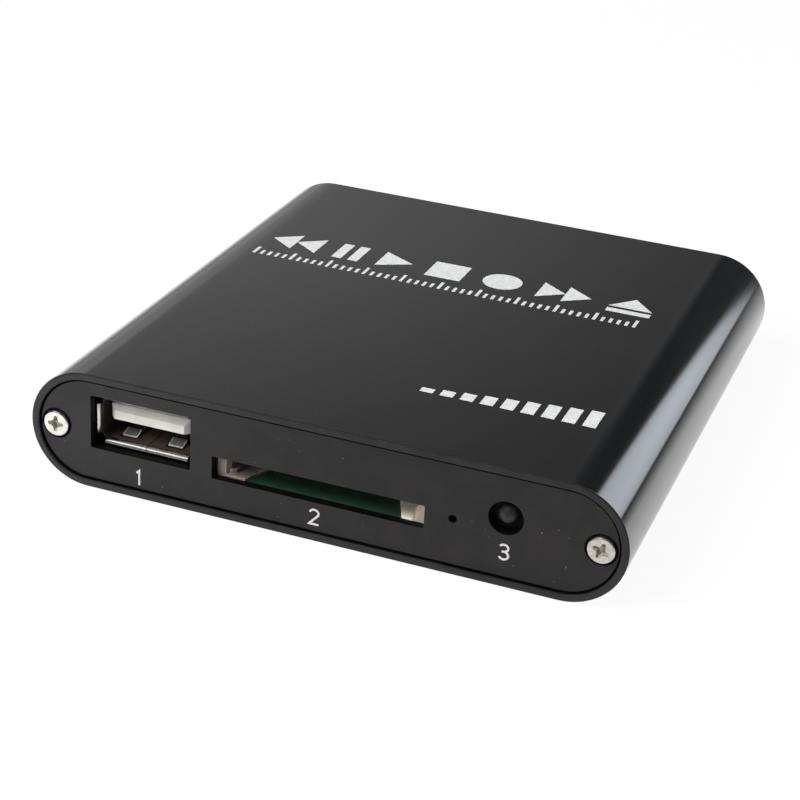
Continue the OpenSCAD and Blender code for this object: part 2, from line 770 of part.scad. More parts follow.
// A round-ended lane between two points
module lane(a, b) {
    for (p = [a, b]) translate(p) circle(r = track_r, $fn = 32);
    translate(a) rotate(atan2(b[1] - a[1], b[0] - a[0]))
        translate([0, -track_r]) square([norm(b - a), 2 * track_r]);
}

// Return spring: one wire wound as a helix between slider and frame
module card_spring() {
    bear = 0.05; // gap between the spring's ends and what they bear on
    steps = 8; // rings in one turn
    sides = 6;
    rings = steps * coil_turns;
    length = spring_end - spring_y - 2 * bear - coil_wire;
    pitch = length / coil_turns;
    gap = pitch - coil_wire;
    echo(least_gap_in_spring = gap);
    function centre(i) = [coil_r * cos(360 * i / steps), length * i / rings, coil_r * sin(360 * i / steps)];
    function outward(i) = [cos(360 * i / steps), 0, sin(360 * i / steps)];
    function ring(i) = [for (k = [0:sides - 1])
        centre(i) + coil_wire / 2 * (outward(i) * cos(360 * k / sides) + [0, sin(360 * k / sides), 0])];
    points = [for (i = [0:rings]) each ring(i)];
    skin = [for (i = [0:rings - 1]) for (k = [0:sides - 1])
        let (a = i * sides + k, b = i * sides + (k + 1) % sides)
        each [[a, b, b + sides], [a, b + sides, a + sides]]];
    start = [for (k = [1:sides - 2]) [0, k + 1, k]];
    finish = [for (k = [1:sides - 2]) [rings * sides, rings * sides + k, rings * sides + k + 1]];
    color("#b9bab8") translate([slider_mid, spring_y + bear + coil_wire / 2, spring_z])
        polyhedron(points, concat(skin, start, finish));
}

// Cam pin: a wire with a pivot leg in the frame and a short tip in the slider's track
module card_cam_pin() {
    bend = 0.35; // radius of the wire's bends
    pivot_low = board_top + ledge_t + 0.1;
    tip_low = slider_z + slider_h - track_depth + 0.1;
    color("#c6c7c5") translate([slider_mid, 0, 0]) {
        translate([0, pin_pivot_y, pivot_low]) cylinder(h = pin_z - bend - pivot_low, r = pin_r, $fn = 24);
        translate([0, pin_tip_y, tip_low]) cylinder(h = pin_z - bend - tip_low, r = pin_r, $fn = 24);
        rod_y(0, pin_pivot_y + bend, pin_z, pin_r, pin_len - 2 * bend);
        translate([0, pin_pivot_y + bend, pin_z - bend]) rotate([90, 0, -90])
            rotate_extrude(angle = 90, $fn = 24) translate([bend, 0]) circle(r = pin_r, $fn = 24);
        translate([0, pin_tip_y - bend, pin_z - bend]) rotate([90, 0, 90])
            rotate_extrude(angle = 90, $fn = 24) translate([bend, 0]) circle(r = pin_r, $fn = 24);
    }
}

// ---- lamp and receiver ----

// Round lamp on its side behind the pinhole, lens toward the panel
module status_lamp() {
    tip = front_y + panel_back + 0.3;
    back = tip + 4.6;
    color("#dfe3e6") translate([lamp_x, 0, lamp_z]) {
        translate([0, back, 0]) rotate([90, 0, 0]) rotate_extrude() {
            square([lamp_flange_r, 0.8]);
            square([lamp_r, back - tip - lamp_r]);
            intersection() {
                translate([0, back - tip - lamp_r]) circle(r = lamp_r);
                translate([0, back - tip - lamp_r - 0.1]) square([lamp_r, lamp_r + 0.2]);
            }
        }
    }
}

module lamp_leads() {
    back = front_y + panel_back + 4.9;
    color("#c4c6c8") for (side = [-1, 1])
        along_x(lamp_x + side * 1.27 - lead_w / 2, lead_w) strip([
            [back, lamp_z], [lamp_pins_y, lamp_z], [lamp_pins_y, lead_end]
        ], lead_w);
}

// Moulded receiver with a dome facing its window
module ir_receiver() {
    color("#17161a") difference() {
        union() {
            chip(receiver_x, receiver_pins_y, receiver_z - receiver_body[2] / 2, receiver_body);
            translate([receiver_x, receiver_y, receiver_z]) rotate([90, 0, 0])
                rotate_extrude() intersection() {
                    circle(r = receiver_dome_r);
                    translate([0, -0.5]) square([receiver_dome_r, receiver_dome_r + 0.5]);
                }
        }
        // bevelled upper corners
        for (side = [-1, 1])
            translate([receiver_x + side * receiver_body[0] / 2, receiver_y - cut,
                       receiver_z + receiver_body[2] / 2])
                rotate([0, 45, 0]) translate([-0.7, 0, -0.7]) cube([1.4, receiver_body[1] + 2 * cut, 1.4]);
    }
}

module ir_leads() {
    low = receiver_z - receiver_body[2] / 2;
    color("#c4c6c8") for (x = [-2.54, 0, 2.54])
        chip(receiver_x + x, receiver_pins_y, lead_end, [lead_w, lead_w, low - lead_end]);
}

// ---- picture socket ----

// Outline of the picture socket: square above, cut corners below, for a given inset
module video_outline(inset) {
    w = video_w / 2 - inset;
    h = video_h / 2 - inset;
    foot = w - 2.0;
    step = 1.7 - inset * 0.35;
    polygon([[-w, h], [-w, -h + step], [-foot, -h], [foot, -h], [w, -h + step], [w, h]]);
}

module video_port_shell() {
    color("#c9c9c4") translate([video_x, video_y - video_len, 0]) {
        difference() {
            along_y(0, video_len) translate([0, video_z]) difference() {
                video_outline(0);
                video_outline(video_t);
            }
            for (side = [-1, 1])
                chip(side * 3.4, video_len - 3.9, video_z, [2.6, 4.6, video_h]);
        }
        for (side = [-1, 1]) {
            along_x(side * 3.4 - 0.9, 1.8) translate([0, video_z + video_h / 2]) strip([
                [video_len - 6.4, -video_t / 2], [video_len - 5.6, -video_t / 2],
                [video_len - 3.2, -0.5], [video_len - 2.2, -0.25]
            ], 0.2);
            for (y = video_legs_y)
                chip(side * (video_w - video_t) / 2, y - video_y + video_len, lead_end,
                     [video_t, 1.2, video_z - lead_end]);
        }
    }
}

video_tongue = [11.0, 1.2]; // width and thickness
video_strip = 0.12; // thickness of its contacts
video_block_len = 2.4;

module video_port_tongue() {
    slot_h = video_strip + 0.03;
    color("#222224") translate([video_x, video_y - video_len, video_z]) difference() {
        union() {
            block([-video_tongue[0] / 2, video_block_len - 0.5, -video_tongue[1] / 2],
                  [video_tongue[0] / 2, video_len - 0.9, video_tongue[1] / 2]);
            along_y(0.1, video_block_len) video_outline(video_t + 0.05);
        }
        // ways for the two rows of contacts through the block
        for (side = [-1, 1])
            block([-5.2, -cut, side * (video_tongue[1] + slot_h) / 2 - slot_h / 2],
                  [5.2, video_block_len + 0.2, side * (video_tongue[1] + slot_h) / 2 + slot_h / 2]);
    }
}

module video_port_contacts() {
    rise = video_tongue[1] / 2 + video_strip / 2;
    color("#c9a24a") translate([video_x, video_y - video_len, 0]) {
        for (i = [0:9]) along_x(-4.5 + i - 0.14, 0.28) strip([
            [video_len - 1.5, video_z + rise], [-0.5, video_z + rise],
            [-0.5, board_top + video_strip / 2], [-1.4, board_top + video_strip / 2]
        ], video_strip);
        for (i = [0:8]) along_x(-4 + i - 0.14, 0.28) strip([
            [video_len - 1.5, video_z - rise], [-0.5, video_z - rise],
            [-0.5, board_top + video_strip / 2], [-1.4, board_top + video_strip / 2]
        ], video_strip);
    }
}

// ---- sound and power jacks ----

nose_len = panel_t - 0.1; // the noses fill the rear panel's holes

module sound_jack_body() {
    window = [5, 1.6]; // length and height of the side windows for the springs
    color("#1a1a1c") difference() {
        union() {
            block([sound_x - sound_w / 2, jack_y - sound_len, board_top],
                  [sound_x + sound_w / 2, jack_y, board_top + sound_h]);
            rod_y(sound_x, jack_y - 0.1, sound_z, sound_nose_r - 0.1, nose_len + 0.1);
        }
        rod_y(sound_x, jack_y - sound_len + 1, sound_z, sound_bore_r, sound_len + nose_len);
        // side grooves that hold the springs
        for (side = [-1, 1])
            block([sound_x + side * 2.6 - 0.2, jack_y - sound_len - cut, board_top - cut],
                  [sound_x + side * 2.6 + 0.2, jack_y - 3, sound_z + window[1] / 2]);
    }
}

module sound_jack_contacts() {
    color("#c9a24a") for (p = sound_pins) {
        x = sound_x + p[0];
        y = jack_y - p[1];
        block([x - contact_t / 2, y - 0.6, lead_end], [x + contact_t / 2, y + 0.6, sound_z + 0.5]);
    }
}

power_slot = [1.8, 0.5]; // width and height of the spring's slot under the bore

module power_jack_body() {
    base_y = jack_y - power_len;
    color("#1a1a1c") difference() {
        union() {
            block([power_x - power_w / 2, base_y, board_top],
                  [power_x + power_w / 2, jack_y, board_top + power_h]);
            rod_y(power_x, jack_y - 0.1, power_z, power_nose_r - 0.1, nose_len + 0.1);
        }
        rod_y(power_x, jack_y - power_bore_len, power_z, power_bore_r, power_bore_len + nose_len + cut);
        // hole that the centre pin's shank is pressed through
        rod_y(power_x, base_y - cut, power_z, power_shank_r + 0.02, power_len);
        // slot for the spring under the bore, open below
        block([power_x - power_slot[0] / 2, base_y - cut, board_top - cut],
              [power_x + power_slot[0] / 2, jack_y - 2.5, power_z - power_bore_r + power_slot[1]]);
        // slot for the switch leg at the side
        block([power_x - 4.0, jack_y - 6.4, board_top - cut],
              [power_x - 2.4, jack_y - 5.6, power_z - 1]);
    }
}

// Centre pin: a thicker shank in the body, a free end with a round tip, a riveted head behind
module power_jack_pin() {
    base_y = jack_y - power_len;
    floor_y = jack_y - power_bore_len;
    tip = jack_y - 1.2;
    color("#cfd0ce") {
        rod_y(power_x, base_y - 0.1, power_z, power_shank_r, floor_y - base_y + 0.1);
        rod_y(power_x, floor_y - 0.1, power_z, power_pin_r, tip - floor_y + 0.1 - power_pin_r);
        translate([power_x, tip - power_pin_r, power_z]) rotate([-90, 0, 0])
            rotate_extrude(angle = 360) intersection() {
                circle(r = power_pin_r, $fn = 48);
                square(power_pin_r);
            }
        rod_y(power_x, base_y - 0.4, power_z, power_shank_r + 0.4, 0.35);
    }
}

module power_jack_contacts() {
    low = power_z - power_bore_r;
    color("#c9a24a") {
        // spring under the bore
        along_x(power_x - 0.7, 1.4) strip([
            [jack_y - spring_root, lead_end], [jack_y - spring_root, low - 0.35],
            [jack_y - spring_peak, low + 0.1], [jack_y - spring_foot, low - 0.4],
            [jack_y - spring_foot, lead_end]
        ], contact_t);
        // switch leg at the side
        block([power_x - 3.9, jack_y - 6.1, lead_end], [power_x - 2.5, jack_y - 5.9, power_z - 1.2]);
    }
}

// ---- chips and small parts ----

chip_leg_t = 0.15;
leg_w = 0.3;

// One gull-wing leg in (outward, up), from a body's side at half its height
module leg_profile(reach, rise) {
    strip([[-0.2, rise], [reach * 0.35, rise], [reach * 0.5, chip_leg_t / 2],
           [reach, chip_leg_t / 2]], chip_leg_t);
}

// A row of legs along y on the +x side of a body of width w
module leg_row(w, count, pitch, reach, rise) {
    for (i = [0:count - 1])
        translate([w / 2, (i - (count - 1) / 2) * pitch + leg_w / 2, 0]) rotate([90, 0, 0])
            linear_extrude(leg_w) leg_profile(reach, rise);
}

// A flat package with legs on two or four sides and a dimple by pin one
module package(size, count, pitch, four_sides) {
    standoff = 0.12;
    rise = size[2] / 2;
    color("#26262a") difference() {
        chip(0, 0, standoff, size);
        translate([-size[0] / 2 + 1.3, -size[1] / 2 + 1.3, standoff + size[2] - 0.1])
            cylinder(h = 1, r = 0.5, $fn = 24);
    }
    turns = four_sides ? [0, 90, 180, 270] : [0, 180];
    color("#c4c6c8") for (turn = turns) rotate(turn)
        leg_row(turn % 180 == 0 ? size[0] : size[1], count, pitch, package_reach, rise);
}

bay = screw_x - channel_r; // half the width that the screw channels leave free
package_reach = 1.0; // how far a package's legs reach out
processor_at = [-1.5, 6];
processor_size = [14, 14, 1.4];
processor_left = processor_at[0] - processor_size[0] / 2 - package_reach;
memory_size = [10.2, 12, 1.1];
memory_x = 11.3 - bay;
memory_y = [-9, 6];
flash_size = [5.2, 5.2, 1.6];
flash_at = [bay - 19.3, 2];
crystal_size = [11, 4.6, 3.6];
crystal_base = 0.6; // height of the crystal's plastic base
crystal_at = [13.5, 11];

module processor() {
    translate([processor_at[0], processor_at[1], board_top]) package(processor_size, 16, 0.8, true);
}

module memory_chips() {
    for (y = memory_y) translate([memory_x, y, board_top]) package(memory_size, 10, 1.1, false);
}

module flash_chip() {
    translate([flash_at[0], flash_at[1], board_top]) package(flash_size, 4, 1.27, false);
}

// Flat metal can of the crystal on its plastic base
module crystal() {
    can = [crystal_size[0] - 0.8, crystal_size[1] - 0.8];
    translate([crystal_at[0], crystal_at[1], board_top]) {
        color("#222224") chip(0, 0, 0, [crystal_size[0], crystal_size[1], crystal_base]);
        color("#c9cacc") along_z(crystal_base, crystal_size[2] - crystal_base)
            round_rect(can[0], can[1], can[1] / 2 - 0.1);
    }
}

column = bay - 4.8; // outer column of the larger parts on the right
column_step = 7; // from the outer column to the inner one
capacitor_base = [5.2, 5.2, 0.8];
capacitor_r = 2.4;
capacitor_h = 5.5;
capacitor_places = [
    for (x = [column - column_step, column]) for (y = [-22, -15]) [x, y],
    [column - 0.5, 15.5], [7.3 - bay, 20.5]
];
inductor_size = [5.4, 5.4, 2.8];
core_r = 1.5; // core of an inductor
core_groove = [0.6, 0.4]; // width and depth of the groove round it
inductor_places = [for (y = [-4, 4]) [column - column_step, y]];
regulator_size = [3.5, 6.5, 1.6];
regulator_reach = 1.5; // how far its legs reach out
regulator_places = [[column + 0.5, -5], [column + 0.5, 4.5], [-12, 19]];
small_size = [1.1, 0.8, 0.42];
small_cap = [0.3, 0.84, 0.48];
small_rows = [ // starts of the rows
    [2.8 - bay, -17], [processor_left - 1.6, -5.5], [2.8 - bay, 14], [10, 18], [16, 15.5]
];
small_count = 5;
small_pitch = 1.6;

// Round cans on square bases
module capacitors() {
    for (p = capacitor_places) translate([p[0], p[1], board_top]) {
        color("#1f1f22") chip(0, 0, 0, capacitor_base);
        color("#b9bbbd") translate([0, 0, capacitor_base[2] - 0.1])
            cylinder(h = capacitor_h - capacitor_base[2] + 0.1, r = capacitor_r);
    }
}

// Square shielded coils with rounded corners and a round core
module inductors() {
    for (p = inductor_places) translate([p[0], p[1], board_top]) {
        color("#3b3b3f") difference() {
            linear_extrude(inductor_size[2]) round_rect(inductor_size[0], inductor_size[1], 0.9);
            translate([0, 0, inductor_size[2] - core_groove[1]]) difference() {
                cylinder(h = cut, r = core_r + core_groove[0]);
                translate([0, 0, -cut]) cylinder(h = 3 * cut, r = core_r);
            }
        }
    }
}

// Three-legged regulators with a wide cooling tab
module regulators() {
    rise = regulator_size[2] / 2;
    for (p = regulator_places) translate([p[0], p[1], board_top]) {
        color("#26262a") chip(0, 0, 0.1, regulator_size);
        color("#c4c6c8") {
            leg_row(regulator_size[0], 3, 2.3, regulator_reach, rise);
            rotate(180) along_y(-1.5, 3) translate([regulator_size[0] / 2, 0])
                leg_profile(regulator_reach, rise);
        }
    }
}

// Rows of small resistors: a body between two end caps
module small_parts() {
    cap_at = (small_size[0] + small_cap[0]) / 2 - 0.05;
    for (start = small_rows) for (i = [0:small_count - 1])
        translate([start[0], start[1] + i * small_pitch, board_top]) {
            color("#1d1d1f") chip(0, 0, 0.03, small_size);
            color("#c4c6c8") for (side = [-1, 1]) chip(side * cap_at, 0, 0, small_cap);
        }
}

housing();
front_panel();
rear_panel();
front_screws();
rear_screws();
main_board();
data_port_shell();
data_port_tongue();
data_port_contacts();
card_socket_frame();
card_socket_cover();
card_contacts();
card_switches();
card_slider();
card_spring();
card_cam_pin();
ir_receiver();
ir_leads();
status_lamp();
lamp_leads();
video_port_shell();
video_port_tongue();
video_port_contacts();
sound_jack_body();
sound_jack_contacts();
power_jack_body();
power_jack_pin();
power_jack_contacts();
processor();
memory_chips();
flash_chip();
crystal();
capacitors();
inductors();
regulators();
small_parts();
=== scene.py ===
"""Looks of the pocket media player: edges, finishes, prints, spring, light and camera.

Objects are in metres. A length in a capital name is in millimetres unless its comment says
otherwise."""

import json
import math

import bmesh
import bpy
from mathutils import Matrix, Vector

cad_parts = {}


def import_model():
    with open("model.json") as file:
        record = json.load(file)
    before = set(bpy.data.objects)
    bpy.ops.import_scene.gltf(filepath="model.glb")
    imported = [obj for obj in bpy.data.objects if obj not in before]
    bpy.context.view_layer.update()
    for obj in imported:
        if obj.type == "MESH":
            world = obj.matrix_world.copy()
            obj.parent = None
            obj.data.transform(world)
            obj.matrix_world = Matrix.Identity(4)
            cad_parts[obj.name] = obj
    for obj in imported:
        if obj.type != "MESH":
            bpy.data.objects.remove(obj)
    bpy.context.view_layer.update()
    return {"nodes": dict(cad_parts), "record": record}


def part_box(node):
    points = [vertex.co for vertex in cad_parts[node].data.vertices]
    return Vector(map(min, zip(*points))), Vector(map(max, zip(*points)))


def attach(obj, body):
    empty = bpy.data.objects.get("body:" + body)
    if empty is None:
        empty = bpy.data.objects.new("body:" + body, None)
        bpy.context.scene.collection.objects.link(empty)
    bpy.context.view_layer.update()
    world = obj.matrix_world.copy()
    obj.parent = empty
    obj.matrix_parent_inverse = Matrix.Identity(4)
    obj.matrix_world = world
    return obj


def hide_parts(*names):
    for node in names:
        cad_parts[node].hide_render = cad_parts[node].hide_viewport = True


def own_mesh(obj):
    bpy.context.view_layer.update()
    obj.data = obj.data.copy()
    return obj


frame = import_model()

MM = 0.001
nodes = frame["nodes"]
slots = {part["node"]: part["material_slot"] for part in frame["record"]["subparts"]}
bodies = {name: body for body, members in frame["record"]["behaviour"]["bodies"].items()
          for name in members}
scene = bpy.context.scene


def put(name, data):
    """A new object in the scene."""
    made = bpy.data.objects.new(name, data)
    scene.collection.objects.link(made)
    return made


# ---- camera ----

CAMERA_AT = Vector((75.925, -231.541, 118.485))
CAMERA_RIGHT = Vector((0.93405, 0.35224, 0.05898))  # a direction, as is the next one
CAMERA_BACK = Vector((0.29405, -0.85221, 0.43277))
CAMERA_LENS = 86.99
CAMERA_SENSOR = 36
CAMERA_NEAR = 0.01  # in metres


def make_camera():
    data = bpy.data.cameras.new("camera")
    data.sensor_width = CAMERA_SENSOR
    data.lens = CAMERA_LENS
    data.clip_start = CAMERA_NEAR
    back = CAMERA_BACK.normalized()
    right = (CAMERA_RIGHT - back * CAMERA_RIGHT.dot(back)).normalized()
    turn = Matrix((right, back.cross(right), back)).transposed()
    camera = put("camera", data)
    camera.matrix_world = Matrix.Translation(CAMERA_AT * MM) @ turn.to_4x4()
    scene.camera = camera


make_camera()
scene.view_settings.view_transform = "Standard"


# ---- places on the object, in millimetres ----

def box_mm(name):
    """Lowest and highest corner of a solid in millimetres."""
    low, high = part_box(name)
    return low / MM, high / MM


housing_top = box_mm("housing")[1]
rim_y = housing_top.y  # of the rear rim; the front one is at -rim_y
round_r = housing_top.z / 2  # of the sleeve's round sides
flat_half = housing_top.x - round_r  # half the width of its flat top
panel_y = -box_mm("front_panel")[0].y  # of the rear panel; the front one is at -panel_y
port_low, port_high = box_mm("data_port_shell")
board_low, board_high = box_mm("main_board")
socket_low = box_mm("card_socket_frame")[0]
receiver_back = box_mm("ir_receiver")[1].y


# ---- shader helpers ----

WHITE = (1.0, 1.0, 1.0, 1.0)


def add(tree, kind, inputs=None, **settings):
    """A node with its settings made and its inputs set or linked."""
    made = tree.nodes.new("ShaderNode" + kind)
    for name, value in settings.items():
        setattr(made, name, value)
    for key, value in (inputs or {}).items():
        if isinstance(value, bpy.types.NodeSocket):
            tree.links.new(value, made.inputs[key])
        else:
            made.inputs[key].default_value = value
    return made


def maths(tree, operation, a, b=0.0, clamp=False):
    return add(tree, "Math", {0: a, 1: b}, operation=operation, use_clamp=clamp).outputs[0]


def times(tree, first, *others):
    """The product of two or more values."""
    for other in others:
        first = maths(tree, "MULTIPLY", first, other)
    return first


def ramp(tree, value, low, high, out_low=0.0, out_high=1.0, ends="SMOOTHSTEP"):
    """value taken from low..high to out_low..out_high, with soft ends or LINEAR ones."""
    made = add(tree, "MapRange", {0: value, 1: low, 2: high, 3: out_low, 4: out_high},
               interpolation_type=ends)
    return made.outputs[0]


def mix(tree, share, a, b):
    """A number between a and b."""
    return add(tree, "Mix", {0: share, 2: a, 3: b}).outputs[0]


def mix_colour(tree, share, a, b):
    """A colour between a and b. A Mix node keeps its colours in sockets 6 and 7."""
    return add(tree, "Mix", {0: share, 6: a, 7: b}, data_type="RGBA").outputs[2]


def colour(tone):
    return (*tone, 1.0)


def in_mm(tree, stretch=(1, 1, 1)):
    """The place on the object in millimetres, pressed along an axis to draw streaks out."""
    place = add(tree, "TexCoord").outputs["Object"]
    scale = [s / MM for s in stretch]
    return add(tree, "VectorMath", {0: place, 1: scale}, operation="MULTIPLY").outputs[0]


def noise(tree, size, detail, stretch=(1, 1, 1)):
    """Noise whose spots are about size millimetres wide."""
    made = add(tree, "TexNoise", {"Vector": in_mm(tree, stretch), "Scale": 1 / size,
                                  "Detail": detail})
    return made.outputs["Fac"]


def new_material(name):
    material = bpy.data.materials.new(name)
    material.use_nodes = True
    material.node_tree.nodes.clear()
    return material, material.node_tree


MOTTLE = (0.35, 0.65)  # noise between which a mottle's colour turns
GRAIN = (0.3, 0.7)  # noise between which a grain's roughness turns
EDGE_LIKENESS = (0.99, 0.8)  # likeness of a face's normal to a rounded one between which an edge turns lighter
EDGE_SPOTS = (0.3, 0.6)  # noise between which that goes from a share to full
EDGE_LEAST = 0.3  # that share
SPECK = 0.3  # size of a speck of dust
SPECKS = (0.78, 0.83)  # noise between which a speck starts
SPECK_TONE = (0.5, 0.48, 0.45)


def lighter_edge(tree, width, spots):
    """Where an edge is lighter: within width millimetres of it, and less in some spots. On the
    cream plastic and the port's fingers this is a painted highlight.
    """
    rounded = add(tree, "Bevel", {"Radius": width * MM}, samples=4).outputs[0]
    flat = add(tree, "NewGeometry").outputs["Normal"]
    likeness = add(tree, "VectorMath", {0: rounded, 1: flat}, operation="DOT_PRODUCT")
    return times(tree, ramp(tree, likeness.outputs["Value"], *EDGE_LIKENESS),
                 ramp(tree, spots, *EDGE_SPOTS, EDGE_LEAST))


def finish(name, low, high, mottle=3.0, rough=(0.4, 0.5), grain=0.12, bump=0.02, metallic=0.0,
           stretch=(1, 1, 1), edge=None, edge_width=0.06, dust=0.0, patches=(), **sockets):
    """A solid's finish: colour between low and high in soft mottles, a fine grain in roughness and
    bump (in millimetres), a lighter edge, specks of dust, and patches of painted light or shade,
    each as (mask, colour)."""
    material, tree = new_material(name)
    spots = noise(tree, mottle, 3.0)
    fine = noise(tree, grain, 3.0, stretch)
    base = mix_colour(tree, ramp(tree, spots, *MOTTLE), colour(low), colour(high))
    for mask, tone in patches:
        base = mix_colour(tree, mask(tree), base, colour(tone))
    roughness = ramp(tree, fine, *GRAIN, *rough)
    if edge:
        base = mix_colour(tree, lighter_edge(tree, edge_width, spots), base, colour(edge))
    if dust:
        specks = ramp(tree, noise(tree, SPECK, 1.0), *SPECKS)
        base = mix_colour(tree, times(tree, specks, dust), base, colour(SPECK_TONE))
    height = add(tree, "Bump", {"Height": fine, "Distance": bump * MM, "Strength": 1.0})
    surface = add(tree, "BsdfPrincipled", {"Base Color": base, "Roughness": roughness,
                                           "Metallic": metallic, "Normal": height.outputs[0]})
    for socket, value in sockets.items():
        surface.inputs[socket.replace("_", " ")].default_value = value
    add(tree, "OutputMaterial", {"Surface": surface.outputs[0]})
    return material


# ---- finishes, one for each slot of the record and some for places within a solid ----

SIDE_BEFORE = 1.5  # the side's finish starts this far inside the flat top
SIDE_PAST = 1.0  # and is full this far past it
FLAT_TONES = ((0.0066, 0.0065, 0.0070), (0.0081, 0.0080, 0.0085))
# The round sides' colour, lighter and bluer than the top's: a painted sheen.
SIDE_SHEEN_TONE = (0.0112, 0.0122, 0.0136)
FLAT_ROUGH = (0.26, 0.36)
SIDE_ROUGH = (0.10, 0.16)


def sleeve_finish():
    """Glossy black anodised extrusion with a fine grain and faint draw lines along it. Its round
    sides are glossier, and painted lighter and bluer as a sheen.
    """
    material, tree = new_material("sleeve")
    place = add(tree, "SeparateXYZ", {0: in_mm(tree)})
    across = maths(tree, "ABSOLUTE", place.outputs[0])
    side = ramp(tree, across, flat_half - SIDE_BEFORE, flat_half + SIDE_PAST)
    grain = noise(tree, 0.14, 3.0)
    lines = noise(tree, 0.3, 4.0, (1, 0.012, 1))
    spots = noise(tree, 9.0, 3.0)
    roughness = mix(tree, side, ramp(tree, grain, *GRAIN, *FLAT_ROUGH),
                    ramp(tree, lines, *GRAIN, *SIDE_ROUGH))
    base = mix_colour(tree, ramp(tree, spots, *MOTTLE), *map(colour, FLAT_TONES))
    base = mix_colour(tree, side, base, colour(SIDE_SHEEN_TONE))
    fine = add(tree, "Bump", {"Height": grain, "Distance": 0.003 * MM, "Strength": 0.6})
    drawn = add(tree, "Bump", {"Height": lines, "Distance": 0.0015 * MM, "Strength": 0.5,
                               "Normal": fine.outputs[0]})
    surface = add(tree, "BsdfPrincipled", {
        "Base Color": base, "Roughness": roughness, "Normal": drawn.outputs[0],
        "Coat Weight": 1.0, "Coat Roughness": 0.08, "Coat Normal": drawn.outputs[0]})
    add(tree, "OutputMaterial", {"Surface": surface.outputs[0]})
    return material


PATCH_SOFT = 0.4  # width of a patch's soft sides
BEYOND = 1.0  # how far a patch reaches past the end of its piece
PORT_RIGHT = 0.6  # how far the painted shadow on the board under the data port reaches to its right
PORT_BEHIND = 1.1  # and behind its mouth
LEFT_LEDGE = (-9.6, -35.0)  # rear right corner of the painted shade on the socket's left ledge, in plan
RIGHT_LEDGE_X = 8.6  # left side of the painted light on the socket's right ledge
RIGHT_LEDGE = (11.7, -34.5)  # rear right corner of that painted light, in plan


def patch(low, high):
    """The mask of a rectangle in plan between two corners in millimetres, with soft sides, where
    light or shade is painted.
    """
    def mask(tree):
        place = add(tree, "SeparateXYZ", {0: in_mm(tree)}).outputs
        sides = [ramp(tree, place[axis], limit + away, limit)
                 for corner, away in ((low, -PATCH_SOFT), (high, PATCH_SOFT))
                 for axis, limit in enumerate(corner)]
        return times(tree, *sides)
    return mask


# The board under the data port, painted near black as the port's shadow.
painted_port_shadow = patch((port_low.x, board_low.y - BEYOND),
                   (port_high.x + PORT_RIGHT, port_low.y + PORT_BEHIND))
# The socket's left ledge, painted darker as the shadow of the window's wall.
left_ledge_painted_shade = patch((socket_low.x - BEYOND, socket_low.y - BEYOND), LEFT_LEDGE)
# The socket's right ledge, painted lighter as a pool of light.
right_ledge_painted_light = patch((RIGHT_LEDGE_X, socket_low.y - BEYOND), RIGHT_LEDGE)

